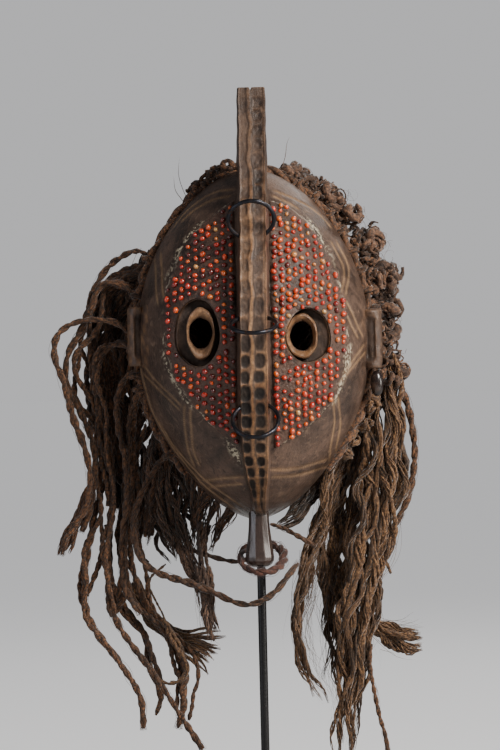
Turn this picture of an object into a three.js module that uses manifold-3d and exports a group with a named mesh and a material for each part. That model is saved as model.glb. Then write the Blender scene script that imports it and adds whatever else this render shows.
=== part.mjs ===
// A carved wooden face mask on its display rod, with a notched crest, two cheek fields of small
// seeds set in resin, three iron rings and a fringe of plant fibre. Millimetres, +Z up; the face
// looks towards -Y and +X is its left cheek. The origin is the middle of the foot's underside.

import * as THREE from "three";
import { LoftGeometry } from "three/addons/geometries/LoftGeometry.js";
import { mergeVertices } from "three/addons/utils/BufferGeometryUtils.js";
import Module from "manifold-3d";

const wasm = await Module();
wasm.setup();

// Face: an egg-shaped dome, open and hollow behind.
const faceX = -2;
const faceZ = 392;
const faceHalfWidth = 94;
const browHeight = 140;
const chinDepth = 146;
const browPinch = 16;
const chinPinch = 28;
const faceDepth = 84;
const rimY = -5;
const wallThickness = 9;
const faceSides = 40;

// Crest: a sickle blade down the middle of the face and above the head.
const crestHalfFront = 10;
const crestRib = 3;
const pitDepth = 4;
const pitSmallestPitch = 9;
const pitLargestPitch = 13.5;
const pitShare = 0.58;
const wornAbove = 532;

// Eyes: a flat boss standing in a moat, bored right through.
const mouldFront = -120;
const eyes = [
  { x: -44, z: 398, hole: [9.2, 12], boss: [11.4, 21], moatX: -48, moat: [18.5, 26.5], floor: -66 },
  { x: 36, z: 394, hole: [9, 11.6], boss: [13, 18], moatX: 39, moat: [17.5, 21.5], floor: -69 },
];
const bossFront = -83;
const bossBack = -56;
const socketWall = 8;

// Knob under the chin, ear lugs at the rim.
const knobTop = 262;
const knobNeck = 246;
const knobEnd = 209;
const knobX = -1;
const knobY = -22;
const knobRadius = 10.6;
const lugRadius = 8;
const lugHeight = 48;

// Seed fields.
const bedGap = 1.3;
const bedThickness = 2.2;
const seedRadius = 2.8;
const seedPitch = 14;
const seedEdge = 2.6;

// Iron rings.
const ringRadius = 17.9;
const ringWire = 1.3;
const ringHoleDepth = 8;
const ringHoleWire = 2.4;
const rings = [
  { name: "ring_top", z: 472, lift: 53 },
  { name: "ring_middle", z: 410, lift: -22 },
  { name: "ring_bottom", z: 342, lift: -48 },
];

// Fringe.
const cordRadius = 2.8;
const ropeRadius = 4.5;
const gap = 0.4;

// Stand.
const rodRadius = 3.5;
const rodTop = 470;
const footSide = 160;
const footHeight = 12;
const footChamfer = 1;
const cradleHalfWidth = 42;
const cradleY = -49;
const cradleZ = 456;

const degrees = Math.PI / 180;

// A closed geometry as a solid that can be joined and cut. Triangles that shrink to a line where
// a ring closes in a point are dropped.
function solid(geometry) {
  const bare = new THREE.BufferGeometry();
  bare.setAttribute("position", geometry.getAttribute("position"));
  bare.setIndex(geometry.getIndex());
  const merged = mergeVertices(bare, 1e-4);
  const corners = Array.from(merged.index.array);
  const kept = [];
  for (let first = 0; first < corners.length; first += 3) {
    const triangle = corners.slice(first, first + 3);
    if (new Set(triangle).size === 3) kept.push(...triangle);
  }
  return new wasm.Manifold(
    new wasm.Mesh({
      numProp: 3,
      vertProperties: new Float32Array(merged.attributes.position.array),
      triVerts: new Uint32Array(kept),
    }),
  );
}

function geometryOf(form) {
  const { vertProperties, triVerts } = form.getMesh();
  const geometry = new THREE.BufferGeometry();
  geometry.setAttribute("position", new THREE.BufferAttribute(vertProperties, 3));
  geometry.setIndex(new THREE.BufferAttribute(triVerts, 1));
  geometry.computeVertexNormals();
  return geometry;
}

// A skin through rings of points, closed at both ends in the middle of its last ring.
function loft(rings) {
  const [start, end] = [rings[0], rings.at(-1)].map((ring) => {
    const middle = new THREE.Vector3();
    for (const point of ring) middle.addScaledVector(point, 1 / ring.length);
    return ring.map(() => middle);
  });
  return solid(new LoftGeometry([start, ...rings, end]));
}

// A repeatable number from 0 to 1 for each whole number.
function scatter(index) {
  const wave = Math.sin(index * 12.9898 + 4.1414) * 43758.5453;
  return wave - Math.floor(wave);
}

// A value read off a list of [place, value] stations, straight between them.
function readOff(stations, place) {
  let next = 1;
  while (next < stations.length - 1 && stations[next][0] < place) next++;
  const [start, first] = stations[next - 1];
  const [end, last] = stations[next];
  return first + ((last - first) * (place - start)) / (end - start);
}

// Distance from the middle of the face to its outline: an ellipse above and a longer one below,
// pinched towards the pointed crown and chin.
function outlineRadius(angle) {
  const across = Math.cos(angle);
  const up = Math.sin(angle);
  const height = up > 0 ? browHeight : chinDepth;
  const pinch = up > 0 ? browPinch : chinPinch;
  const oval = 1 / Math.hypot(across / faceHalfWidth, up / height);
  return oval - pinch * up ** 4 * Math.abs(across);
}

// The dome's swell at a share of the way from its middle to its rim.
function swell(reach) {
  return (1 - Math.min(reach, 1) ** 2.4) ** 0.62;
}

function faceRing(reach, inset, depth, shift) {
  const ring = [];
  for (let side = 0; side < faceSides; side++) {
    const angle = (side / faceSides) * 2 * Math.PI;
    const radius = reach * (outlineRadius(angle) - inset);
    ring.push(
      new THREE.Vector3(
        faceX + radius * Math.cos(angle),
        rimY + shift - depth * swell(reach),
        faceZ + radius * Math.sin(angle),
      ),
    );
  }
  return ring;
}

// Height of the face's surface in front of a point of its outline plane.
function faceSurface(x, z) {
  const reach = Math.hypot(x - faceX, z - faceZ) / outlineRadius(Math.atan2(z - faceZ, x - faceX));
  return rimY - faceDepth * swell(reach);
}

// An oval rod along Y between two depths.
function ovalRod(x, z, [halfWidth, halfHeight], front, back) {
  const rod = new THREE.CylinderGeometry(1, 1, 1, 14);
  rod.scale(halfWidth, back - front, halfHeight);
  rod.translate(x, (front + back) / 2, z);
  return solid(rod);
}

const outerReaches = [1, 0.98, 0.93, 0.85, 0.73, 0.58, 0.4, 0.2];
const innerReaches = [0.15, 0.5, 0.78, 0.93, 1];

function dome() {
  const inside = innerReaches.map((reach) => faceRing(reach, wallThickness, faceDepth - wallThickness, 0));
  const outside = outerReaches.map((reach) => faceRing(reach, 0, faceDepth, 0));
  return loft([...inside, ...outside]);
}

// Crest stations: height, then depth of the front edge, of the back edge, and half its back width.
const crestFront = [
  [251, -30], [258, -42], [268, -57], [282, -75], [300, -89], [325, -102], [350, -109], [392, -112],
  [425, -110], [455, -103], [480, -94], [500, -86], [520, -77], [545, -68], [570, -61], [594, -58],
];
const crestBack = [
  [251, -22], [268, -40], [282, -55], [300, -66], [350, -80], [425, -80], [455, -74], [480, -62],
  [500, -46], [515, -28], [524, -14], [534, -22], [545, -34], [558, -40], [575, -43], [594, -44],
];
const crestHalfBack = [[251, 6], [268, 9], [300, 12], [350, 14], [480, 14], [530, 12.5], [594, 11.4]];
const crestNarrowing = [[251, 0.4], [268, 0.55], [284, 0.78], [305, 0.95], [330, 1], [594, 1.06]];
const crestDrift = [[251, 2.6], [284, 1], [310, 0], [594, 2.2]];

function crestSection(z) {
  const middle = faceX + readOff(crestDrift, z);
  const half = crestHalfFront * readOff(crestNarrowing, z);
  const halfBack = readOff(crestHalfBack, z);
  const front = readOff(crestFront, z);
  const back = readOff(crestBack, z);
  return [
    new THREE.Vector3(middle - half, front, z),
    new THREE.Vector3(middle + half, front, z),
    new THREE.Vector3(middle + halfBack, back, z),
    new THREE.Vector3(middle - halfBack, back, z),
  ];
}

function crest() {
  const heights = [...new Set([...crestFront, ...crestBack].map(([z]) => z))].sort((a, b) => a - b);
  return loft(heights.map(crestSection));
}

// Two columns of square pits between rungs, left and right of a central rib.
function crestPits() {
  const pits = [];
  let z = 260;
  while (z < 588) {
    const pitch = THREE.MathUtils.mapLinear(z, 260, 590, pitSmallestPitch, pitLargestPitch);
    const slope = Math.atan2(readOff(crestFront, z + 4) - readOff(crestFront, z - 4), 8);
    const half = crestHalfFront * readOff(crestNarrowing, z);
    const width = half - crestRib / 2 - 1.6;
    for (const side of [-1, 1]) {
      if (side < 0 && z > wornAbove) continue;
      const pit = new THREE.BoxGeometry(width, 2 * pitDepth, pitch * pitShare);
      pit.rotateX(-slope);
      const x = faceX + readOff(crestDrift, z) + side * (crestRib / 2 + width / 2);
      pit.translate(x, readOff(crestFront, z), z);
      pits.push(solid(pit));
    }
    z += pitch;
  }
  return pits;
}

// The shallow V cut in the crest's upper end.
function crestNotch() {
  const notch = new THREE.BoxGeometry(5, 60, 5);
  notch.rotateY(45 * degrees);
  notch.translate(faceX + 1, -50, 595);
  return solid(notch);
}

// Facetted knob: a ten-sided neck that flares to a rounded foot.
function knob() {
  const sections = [
    [knobEnd, 0.62], [knobEnd + 2, 0.92], [knobEnd + 6, 1.12], [knobEnd + 20, 1], [knobNeck, 0.94],
    [knobTop, 0.9],
  ];
  return loft(
    sections.map(([z, girth]) =>
      Array.from({ length: 10 }, (_, corner) => {
        const angle = (corner / 10) * 2 * Math.PI;
        return new THREE.Vector3(
          knobX + knobRadius * girth * Math.cos(angle),
          knobY + 0.9 * knobRadius * girth * Math.sin(angle),
          z,
        );
      }),
    ),
  );
}

function lug(x, z) {
  const half = new THREE.CylinderGeometry(lugRadius, lugRadius, lugHeight, 10);
  half.rotateX(90 * degrees);
  half.translate(x, rimY - lugRadius - 1, z);
  return solid(half);
}

// A ring of round bar through the crest, swung up or down about its hole.
function wireRing({ z, lift }, wire, steps) {
  const torus = new THREE.TorusGeometry(ringRadius, wire, 5, steps);
  torus.rotateX(Math.PI - lift * degrees);
  const reachY = -Math.cos(lift * degrees) * ringRadius;
  const reachZ = Math.sin(lift * degrees) * ringRadius;
  torus.translate(faceX, readOff(crestFront, z) + ringHoleDepth + reachY, z + reachZ);
  return torus;
}

function carvedMask() {
  let wood = dome();
  for (const eye of eyes) {
    const [moatWidth, moatHeight] = eye.moat;
    const socket = [moatWidth + 2, moatHeight + 2];
    wood = wood
      .add(ovalRod(eye.moatX, eye.z, socket, eye.floor - 1, eye.floor + socketWall))
      .subtract(ovalRod(eye.moatX, eye.z, eye.moat, mouldFront, eye.floor))
      .add(ovalRod(eye.x, eye.z, eye.boss, bossFront, bossBack))
      .subtract(ovalRod(eye.x, eye.z, eye.hole, mouldFront, 0));
  }
  wood = wood.add(crest()).add(knob()).add(lug(faceX - 94, 397)).add(lug(faceX + 96, 391));
  for (const pit of crestPits()) wood = wood.subtract(pit);
  for (const ring of rings) wood = wood.subtract(solid(wireRing(ring, ringHoleWire, 12)));
  return wood.subtract(crestNotch());
}

// Outlines of the two fields in the plane of the face, as [x, z] corners of a smooth line.
const fieldRight = [
  [13.4, 503], [37, 492], [54, 468], [65, 446], [71, 422], [73, 398], [72, 376], [66, 355], [51, 332],
  [33, 316], [13.4, 307],
];
const fieldLeft = [
  [-17.4, 503], [-35, 490], [-55, 469], [-68, 445], [-74, 422], [-74, 398], [-71, 376], [-63, 357],
  [-50, 339], [-35, 323], [-17.4, 311],
];

function isInside(outline, x, z) {
  let inside = false;
  outline.forEach(([x0, z0], index) => {
    const [x1, z1] = outline[(index + 1) % outline.length];
    const crosses = z0 > z !== z1 > z && x < x0 + ((x1 - x0) * (z - z0)) / (z1 - z0);
    if (crosses) inside = !inside;
  });
  return inside;
}

function clearOfEyes(x, z, margin) {
  return eyes.every((eye) => {
    const [width, height] = eye.moat;
    return Math.hypot((x - eye.moatX) / (width + margin), (z - eye.z) / (height + margin)) > 1;
  });
}

// A thin bed of resin over the cheek, cut to its outline and round the eye.
function bed(outline) {
  const [first, ...others] = outline.map(([x, z]) => new THREE.Vector2(x, z));
  const shape = new THREE.Shape();
  shape.moveTo(first.x, first.y);
  shape.splineThru(others);
  const block = new THREE.ExtrudeGeometry(shape, { depth: 140, bevelEnabled: false, curveSegments: 2 });
  block.rotateX(90 * degrees);
  const reaches = outerReaches.filter((reach) => reach < 0.99);
  const under = [...reaches].reverse().map((reach) => faceRing(reach, 0, faceDepth, -bedGap));
  const over = reaches.map((reach) => faceRing(reach, 0, faceDepth, -bedGap - bedThickness));
  let form = loft([...under, ...over]).intersect(solid(block));
  for (const eye of eyes) {
    const [width, height] = eye.moat;
    form = form.subtract(ovalRod(eye.moatX, eye.z, [width + 3, height + 3], mouldFront, 0));
  }
  return form;
}

// Seeds in staggered rows over the bed, each pressed in by a little more than half.
function seedField(outline) {
  let form = bed(outline);
  const rowHeight = seedPitch * Math.sin(60 * degrees);
  const [low, high] = [Math.min, Math.max].map((pick) => pick(...outline.map(([, z]) => z)));
  const [left, right] = [Math.min, Math.max].map((pick) => pick(...outline.map(([x]) => x)));
  let count = 0;
  for (let row = 0; low + row * rowHeight < high; row++) {
    for (let column = 0; left + column * seedPitch < right + seedPitch; column++) {
      count++;
      const x = left + (column + 0.5 * (row % 2)) * seedPitch + 2.4 * (scatter(count) - 0.5);
      const z = low + row * rowHeight + 2.4 * (scatter(count + 500) - 0.5);
      const within = [-1, 1].every(
        (side) => isInside(outline, x + side * seedEdge, z) && isInside(outline, x, z + side * seedEdge),
      );
      if (!within || !clearOfEyes(x, z, 2.6 + seedEdge)) continue;
      const seed = new THREE.OctahedronGeometry(seedRadius);
      seed.scale(1, 0.76, 1.12);
      seed.translate(x, faceSurface(x, z) - bedGap - bedThickness + 0.3, z);
      form = form.add(solid(seed));
    }
  }
  return form;
}

// A round cord swept along a smooth line through hand-set points.
function cord(points, radius, sides) {
  const line = new THREE.CatmullRomCurve3(points.map((point) => new THREE.Vector3(...point)));
  const section = new THREE.Shape();
  section.absarc(0, 0, radius, 0, 2 * Math.PI);
  return new THREE.ExtrudeGeometry(section, {
    steps: Math.max(3, Math.round(line.getLength() / (6 * radius))),
    extrudePath: line,
    curveSegments: sides / 2,
  });
}

// A bunch of fibre: a fluted, flattened round carried down a line of [x, y, z, half-width] stations.
function hank(stations, flatness, lobes) {
  const line = new THREE.CatmullRomCurve3(stations.map(([x, y, z]) => new THREE.Vector3(x, y, z)));
  const count = stations.length;
  const rings = [];
  const corners = lobes * 2;
  const steps = Math.round(1.2 * count);
  const halves = stations.map(([, , , half], index) => [index / (count - 1), half]);
  for (let step = 0; step <= steps; step++) {
    const t = step / steps;
    const middle = line.getPoint(t);
    const direction = line.getTangent(t);
    const across = new THREE.Vector3(0, 1, 0).cross(direction).normalize();
    const out = direction.clone().cross(across).normalize();
    const half = readOff(halves, t);
    rings.push(
      Array.from({ length: corners }, (_, corner) => {
        const angle = (corner / corners) * 2 * Math.PI + step * 0.12;
        const radius = half * (corner % 2 ? 0.8 : 1);
        return middle
          .clone()
          .addScaledVector(across, radius * Math.cos(angle))
          .addScaledVector(out, radius * flatness * Math.sin(angle));
      }),
    );
  }
  return geometryOf(loft(rings));
}

// The rope along the back edge of the rim, open below the chin where the rod passes.
function rimRope() {
  const points = [];
  for (let step = 0; step <= 22; step++) {
    const angle = (-62 + (step / 22) * 304) * degrees;
    const radius = outlineRadius(angle) + 1.5;
    points.push([faceX + radius * Math.cos(angle), rimY + ropeRadius + gap, faceZ + radius * Math.sin(angle)]);
  }
  return cord(points, ropeRadius, 8);
}

// Curled knots of fibre packed side by side along the upper right of the rim.
const ruffLine = [
  [24, 18, 527], [39, 17, 522], [53, 18, 512], [67, 17, 502], [79, 18, 490], [89, 17, 477], [97, 18, 462],
  [103, 17, 446], [104, 18, 429], [104, 17, 412], [104, 18, 395],
];
const ruffKnot = 12.6;

function ruff() {
  return ruffLine
    .map(([x, y, z], index) => {
      const knot = new THREE.IcosahedronGeometry(ruffKnot * (0.95 + 0.2 * scatter(index)));
      knot.scale(1, 0.85, 1);
      knot.rotateY(scatter(index + 40) * Math.PI);
      knot.rotateZ(scatter(index + 80) * Math.PI);
      knot.translate(x, y, z);
      return solid(knot);
    })
    .reduce((joined, knot) => joined.add(knot));
}

// Routes of the hanging cords, from where they leave the rim to their loose ends.
const cordRoutes = {
  cord_left_outer: [
    [-103, 3, 401], [-114, 6, 409], [-128, 8, 412], [-143, 10, 411], [-154, 12, 407], [-162, 13, 400],
    [-165, 14, 390], [-164, 14, 378], [-159, 14, 365], [-155, 13, 349], [-150, 12, 330], [-144, 11, 314],
    [-140, 10, 300], [-138, 10, 285], [-139, 10, 270], [-143, 11, 257], [-151, 12, 245], [-159, 13, 233],
    [-163, 14, 221],
  ],
  cord_left_long: [
    [-93, 7, 467], [-100, 14, 467], [-109, 22, 463], [-118, 28, 457], [-125, 30, 449], [-131, 31, 439],
    [-135, 31, 427], [-137, 31, 407], [-136, 31, 385], [-134, 30, 363], [-131, 29, 339], [-129, 28, 315],
    [-129, 27, 291], [-132, 26, 267], [-137, 25, 243], [-142, 24, 221], [-145, 23, 199], [-145, 22, 181],
    [-141, 21, 165], [-131, 20, 149], [-120, 19, 135], [-111, 18, 121], [-104, 17, 109], [-100, 16, 97],
    [-99, 16, 77],
  ],
  cord_left_arch: [
    [-101, 6, 434], [-108, 9, 440], [-117, 12, 442], [-125, 15, 440], [-130, 17, 433], [-134, 18, 422],
    [-141, 19, 407], [-147, 20, 397], [-153, 20, 387], [-156, 20, 376], [-156, 20, 363], [-152, 20, 349],
    [-145, 19, 336], [-139, 18, 323], [-135, 18, 308], [-134, 18, 293], [-135, 18, 278], [-138, 18, 264],
    [-141, 18, 251], [-146, 18, 239],
  ],
  cord_left_fall: [
    [-102, 8, 389], [-110, 13, 392], [-118, 17, 391], [-125, 19, 386], [-130, 20, 376], [-132, 21, 363],
    [-131, 21, 347], [-127, 21, 327], [-122, 21, 307], [-120, 21, 287], [-121, 21, 267], [-123, 21, 247],
    [-125, 20, 227], [-125, 19, 203], [-124, 17, 182], [-118, 15, 163], [-108, 13, 147], [-97, 12, 132],
    [-88, 11, 119], [-79, 10, 105], [-70, 9, 90], [-60, 8, 74], [-51, 8, 60],
  ],
  cord_left_braid: [
    [-100, 7, 369], [-106, 11, 365], [-112, 13, 356], [-115, 14, 342], [-114, 14, 322], [-110, 13, 302],
    [-108, 12, 282], [-108, 11, 266], [-110, 11, 250], [-113, 11, 230], [-113, 11, 212], [-112, 10, 195],
    [-107, 9, 183], [-99, 8, 172],
  ],
  cord_left_tail: [
    [-97, 8.5, 358], [-100, 15, 342], [-103, 21, 321], [-103, 24, 300], [-104, 24, 280], [-106, 24, 256],
    [-107, 24, 234], [-106, 24, 213], [-102, 24, 196], [-96, 23, 180], [-88, 22, 167], [-78, 21, 154],
    [-71, 20, 142], [-66, 19, 131], [-64, 18, 118], [-66, 18, 107], [-66, 18, 94], [-71, 18, 77],
  ],
  cord_swag: [
    [-74, 7, 303], [-84, 7, 290], [-94, 5, 274], [-101, 3, 256], [-103, 0, 240], [-101, -3, 226],
    [-96, -5, 215], [-87, -7, 207], [-76, -8, 202], [-63, -9, 198], [-49, -10, 193], [-36, -11, 187],
    [-24, -12, 181], [-11, -12, 178], [2, -12, 182], [13, -10, 190], [22, -6, 201], [30, 0, 210],
  ],
  cord_right_outer: [
    [112, 27, 366], [119, 26, 349], [124, 26, 332], [127, 26, 314], [128, 26, 296], [126, 26, 278],
    [122, 26, 262], [117, 26, 250], [110, 26, 238], [102, 28, 228],
  ],
};
const thinCordRoutes = {
  cord_right_thin: [
    [88.5, 12, 142], [87, 8, 130], [88, 5, 116], [90, 4, 103], [92, 4, 92], [94, 5, 82], [97, 6, 72], [99, 7, 62],
    [100, 8, 52],
  ],
  cord_chin_strap: [[8, -1, 242.5], [16, -1, 240], [24, -1, 236], [34, 0, 230], [44, 3, 224]],
};
const thinCordRadius = 1.9;

// Bunches of unspun fibre: [x, y, z, half-width] down each one.
const hanks = {
  hank_left: {
    flatness: 0.45,
    lobes: 5,
    stations: [
      [-78, 8.5, 470, 7], [-92, 28, 440, 14], [-105, 43, 400, 20], [-109, 46, 350, 22], [-107, 46, 300, 20],
      [-106, 45, 258, 16], [-105, 42, 226, 10], [-106, 38, 200, 4],
    ],
  },
  hank_left_inner: {
    flatness: 0.8,
    lobes: 4,
    stations: [[-70, 12, 344, 8], [-76, 18, 312, 10], [-82, 20, 278, 10], [-88, 20, 250, 8], [-93, 20, 226, 4]],
  },
  hank_flare: {
    flatness: 0.4,
    lobes: 4,
    stations: [
      [-106, 38, 198, 3.5], [-98, 33, 178, 4], [-86, 31, 162, 4.5], [-72, 30, 151, 6], [-56, 30, 142, 10],
      [-38, 30, 133, 14],
    ],
  },
  hank_small: {
    flatness: 0.7,
    lobes: 4,
    stations: [[-48, -2, 212, 5], [-46, -2, 180, 6.5], [-41, -2, 148, 6.5]],
  },
  hank_behind: {
    flatness: 0.16,
    lobes: 6,
    stations: [
      [-10, 8, 530, 8], [-6, 13, 512, 20], [-3, 15, 480, 38], [-4, 15, 440, 52], [-4, 15, 400, 55],
      [-8, 15, 360, 50], [-16, 15, 325, 42], [-26, 14, 295, 32], [-34, 13, 268, 24], [-42, 10, 242, 14],
      [-48, 6, 219, 7],
    ],
  },
  hank_right_main: {
    flatness: 0.6,
    lobes: 5,
    stations: [
      [102, 13, 380, 11], [103, 17, 345, 16], [103, 17, 310, 17], [99, 17, 270, 17], [90, 16, 230, 16],
      [82, 15, 190, 14], [76, 14, 150, 12], [71, 13, 110, 9], [66, 12, 76, 7], [62, 12, 44, 5],
    ],
  },
  hank_right_inner: {
    flatness: 0.9,
    lobes: 4,
    stations: [
      [73, 12.5, 330, 8], [64, 16, 293, 9], [54, 16, 254, 9], [45, 16, 223, 9], [37, 15, 191, 8],
      [31, 14, 163, 7], [35, 13, 133, 6.5], [43, 12, 111, 6], [50, 12, 93, 4],
    ],
  },
  hank_right_back: {
    flatness: 0.55,
    lobes: 5,
    stations: [
      [88, 26, 372, 8], [84, 37, 345, 13], [82, 40, 320, 16], [72, 40, 260, 17], [62, 40, 205, 15], [62, 40, 165, 12],
      [66, 38, 125, 11], [68, 36, 90, 8], [66, 34, 62, 5],
    ],
  },
  hank_right_side: {
    flatness: 0.7,
    lobes: 4,
    stations: [[79, 28, 167, 6], [95, 30, 153, 9], [113, 31, 146, 11], [132, 31, 144, 8]],
  },
};

// Rope ring slung round the knob and the rod, its front hanging lower than its back.
function chinRing() {
  const torus = new THREE.TorusGeometry(17.4, 2.6, 7, 15);
  torus.scale(1, 1.52, 1);
  torus.rotateX(24 * degrees);
  torus.translate(1, -14.5, 216);
  return torus;
}

function lugBead() {
  const bead = new THREE.SphereGeometry(5.2, 10, 8);
  bead.scale(1, 1, 2);
  bead.translate(97, rimY - lugRadius - 1, 355);
  return bead;
}

function rod() {
  const bar = new THREE.CylinderGeometry(rodRadius, rodRadius, rodTop - footHeight - gap, 16);
  bar.rotateX(90 * degrees);
  bar.translate(0, 0, (rodTop + footHeight + gap) / 2);
  return bar;
}

// A cross bar under the inside of the forehead, on an arm that comes forward from the rod.
function cradle() {
  const bar = new THREE.CylinderGeometry(rodRadius, rodRadius, 2 * cradleHalfWidth, 12);
  bar.rotateZ(90 * degrees);
  bar.translate(0, cradleY, cradleZ);
  const armLength = -rodRadius - gap - cradleY;
  const arm = new THREE.CylinderGeometry(rodRadius, rodRadius, armLength, 12);
  arm.translate(0, cradleY + armLength / 2, cradleZ);
  return geometryOf(solid(bar).add(solid(arm)));
}

function foot() {
  const side = footSide / 2 - footChamfer;
  const square = new THREE.Shape([
    new THREE.Vector2(-side, -side),
    new THREE.Vector2(side, -side),
    new THREE.Vector2(side, side),
    new THREE.Vector2(-side, side),
  ]);
  const plate = new THREE.ExtrudeGeometry(square, {
    depth: footHeight - 2 * footChamfer,
    bevelSize: footChamfer,
    bevelThickness: footChamfer,
    bevelSegments: 1,
  });
  plate.translate(0, 0, footChamfer);
  return plate;
}

const mask = new THREE.Group();

function addPiece(name, geometry, color, roughness, metalness = 0) {
  const material = new THREE.MeshStandardMaterial({ color, roughness, metalness });
  const mesh = new THREE.Mesh(geometry, material);
  mesh.name = name;
  mask.add(mesh);
}

addPiece("mask", geometryOf(carvedMask()), 0x4d4038, 0.6);
addPiece("seed_bed_left", geometryOf(seedField(fieldLeft)), 0x7a3a24, 0.5);
addPiece("seed_bed_right", geometryOf(seedField(fieldRight)), 0x9a4a2c, 0.5);
for (const ring of rings) addPiece(ring.name, wireRing(ring, ringWire, 16), 0x24242a, 0.45, 0.9);
addPiece("chin_ring", chinRing(), 0x5a3a28, 0.8);
addPiece("lug_bead", lugBead(), 0x2a2422, 0.35);
addPiece("rim_rope", rimRope(), 0x2c2420, 0.9);
addPiece("ruff", geometryOf(ruff()), 0x5a4632, 0.95);
for (const [name, route] of Object.entries(cordRoutes)) {
  addPiece(name, cord(route, cordRadius, 8), 0x4a3526, 0.9);
}
for (const [name, route] of Object.entries(thinCordRoutes)) {
  addPiece(name, cord(route, thinCordRadius, 8), 0x3a2a20, 0.9);
}
for (const [name, { stations, flatness, lobes }] of Object.entries(hanks)) {
  addPiece(name, hank(stations, flatness, lobes), 0x4e3a28, 0.95);
}
addPiece("stand_rod", rod(), 0x0c0c0d, 0.25, 0.6);
addPiece("stand_cradle", cradle(), 0x0c0c0d, 0.25, 0.6);
addPiece("stand_foot", foot(), 0x101011, 0.4, 0.6);

export default mask;
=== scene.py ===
import bpy
import numpy as np
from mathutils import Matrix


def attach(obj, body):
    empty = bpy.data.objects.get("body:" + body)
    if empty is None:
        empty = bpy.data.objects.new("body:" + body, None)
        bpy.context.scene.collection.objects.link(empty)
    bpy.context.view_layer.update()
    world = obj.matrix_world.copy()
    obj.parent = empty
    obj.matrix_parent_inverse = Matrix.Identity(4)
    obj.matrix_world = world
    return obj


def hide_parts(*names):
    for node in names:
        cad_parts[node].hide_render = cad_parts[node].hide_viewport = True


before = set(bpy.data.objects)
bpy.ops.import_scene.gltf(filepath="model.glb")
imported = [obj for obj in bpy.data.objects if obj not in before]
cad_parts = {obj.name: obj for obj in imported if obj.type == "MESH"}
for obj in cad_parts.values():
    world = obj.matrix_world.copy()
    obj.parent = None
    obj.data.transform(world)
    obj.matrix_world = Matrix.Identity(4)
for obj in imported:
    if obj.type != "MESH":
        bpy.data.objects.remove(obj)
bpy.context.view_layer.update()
scene = bpy.context.scene

# Camera: level with the middle of the mask, far off, and rolled a little so that the mask leans to
# the left as it does in the photograph. The picture is 600 mm tall at the plane of the face.
camera_aim = (-0.0056, -0.05, 0.364)
camera_distance = 3.0
camera_roll = np.radians(1.3)
picture_height = 0.600
sensor_size = 36.0

camera_data = bpy.data.cameras.new("camera")
camera_data.sensor_width = sensor_size
camera_data.lens = sensor_size * camera_distance / picture_height
camera = bpy.data.objects.new("camera", camera_data)
camera.location = (camera_aim[0], camera_aim[1] - camera_distance, camera_aim[2])
camera.rotation_euler = (np.pi / 2, camera_roll, 0)
scene.collection.objects.link(camera)
scene.camera = camera


# Light: one large soft lamp high on the right and a weak one low beside it, a weak cool one on the
# left and one from behind.
def add_lamp(name, place, target, size, watts, tint):
    """A square soft lamp at a place, turned so that it shines at its target."""
    data = bpy.data.lights.new(name, "AREA")
    data.size = size
    data.energy = watts
    data.color = tint
    lamp = bpy.data.objects.new(name, data)
    lamp.location = place
    reach = np.subtract(target, place)
    lamp.rotation_euler = (
        np.arctan2(np.hypot(reach[0], reach[1]), -reach[2]),
        0,
        np.arctan2(reach[1], reach[0]) - np.pi / 2,
    )
    scene.collection.objects.link(lamp)


lamp_target = (0.0, -0.03, 0.36)
add_lamp("lamp_right", (1.25, -1.35, 1.45), lamp_target, 0.7, 70, (1.0, 0.955, 0.9))
add_lamp("lamp_side", (1.9, -0.5, 0.5), lamp_target, 0.6, 12, (1.0, 0.95, 0.88))
add_lamp("lamp_left", (-1.9, -1.3, 0.7), lamp_target, 1.2, 11, (0.86, 0.9, 1.0))
add_lamp("lamp_behind", (0.9, 1.7, 1.6), lamp_target, 0.9, 13, (1.0, 0.98, 0.95))


def add_node(tree, kind, inputs=None, **settings):
    """A shader node with its settings made, and each input set or linked from another's output."""
    node = tree.nodes.new(kind)
    for name, value in settings.items():
        setattr(node, name, value)
    for name, value in (inputs or {}).items():
        if isinstance(value, bpy.types.NodeSocket):
            tree.links.new(value, node.inputs[name])
        else:
            node.inputs[name].default_value = value
    return node


# Room: an even pale room all round. The camera sees it bright, but it lights the mask only softly, so
# that the hollows stay dark.
room_seen = 0.56
room_lighting = 0.13
room_colour = (0.98, 0.98, 1.0, 1)
world = bpy.data.worlds.new("room")
world.use_nodes = True
room = world.node_tree
room.nodes.clear()
view_ray = add_node(room, "ShaderNodeLightPath")
room_strength = add_node(
    room, "ShaderNodeMapRange",
    {"Value": view_ray.outputs["Is Camera Ray"], "To Min": room_lighting, "To Max": room_seen},
)
room_light = add_node(
    room, "ShaderNodeBackground", {"Color": room_colour, "Strength": room_strength.outputs["Result"]}
)
room_output = add_node(room, "ShaderNodeOutputWorld")
room.links.new(room_light.outputs["Background"], room_output.inputs["Surface"])
scene.world = world


def new_material(name, **constants):
    """A material with one Principled shader, whose plain values are set on its own sockets."""
    material = bpy.data.materials.new(name)
    material.use_nodes = True
    tree = material.node_tree
    tree.nodes.clear()
    shader = add_node(tree, "ShaderNodeBsdfPrincipled")
    for socket, value in constants.items():
        shader.inputs[socket.replace("_", " ")].default_value = value
    output = add_node(tree, "ShaderNodeOutputMaterial")
    tree.links.new(shader.outputs["BSDF"], output.inputs["Surface"])
    return material, tree, shader


def colour(red, green, blue):
    """A colour given as it looks on a screen, from 0 to 255, as the light values a shader takes."""
    shares = np.array((red, green, blue)) / 255
    light = np.where(shares < 0.04045, shares / 12.92, ((shares + 0.055) / 1.055) ** 2.4)
    return (*light, 1.0)


# Floor: a plain pale sheet that runs off into the same pale room, so it shows no horizon. What the
# camera sees of it is evened out by a glow that lights nothing else.
floor_reach = 60.0
floor_grey = 0.5

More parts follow.
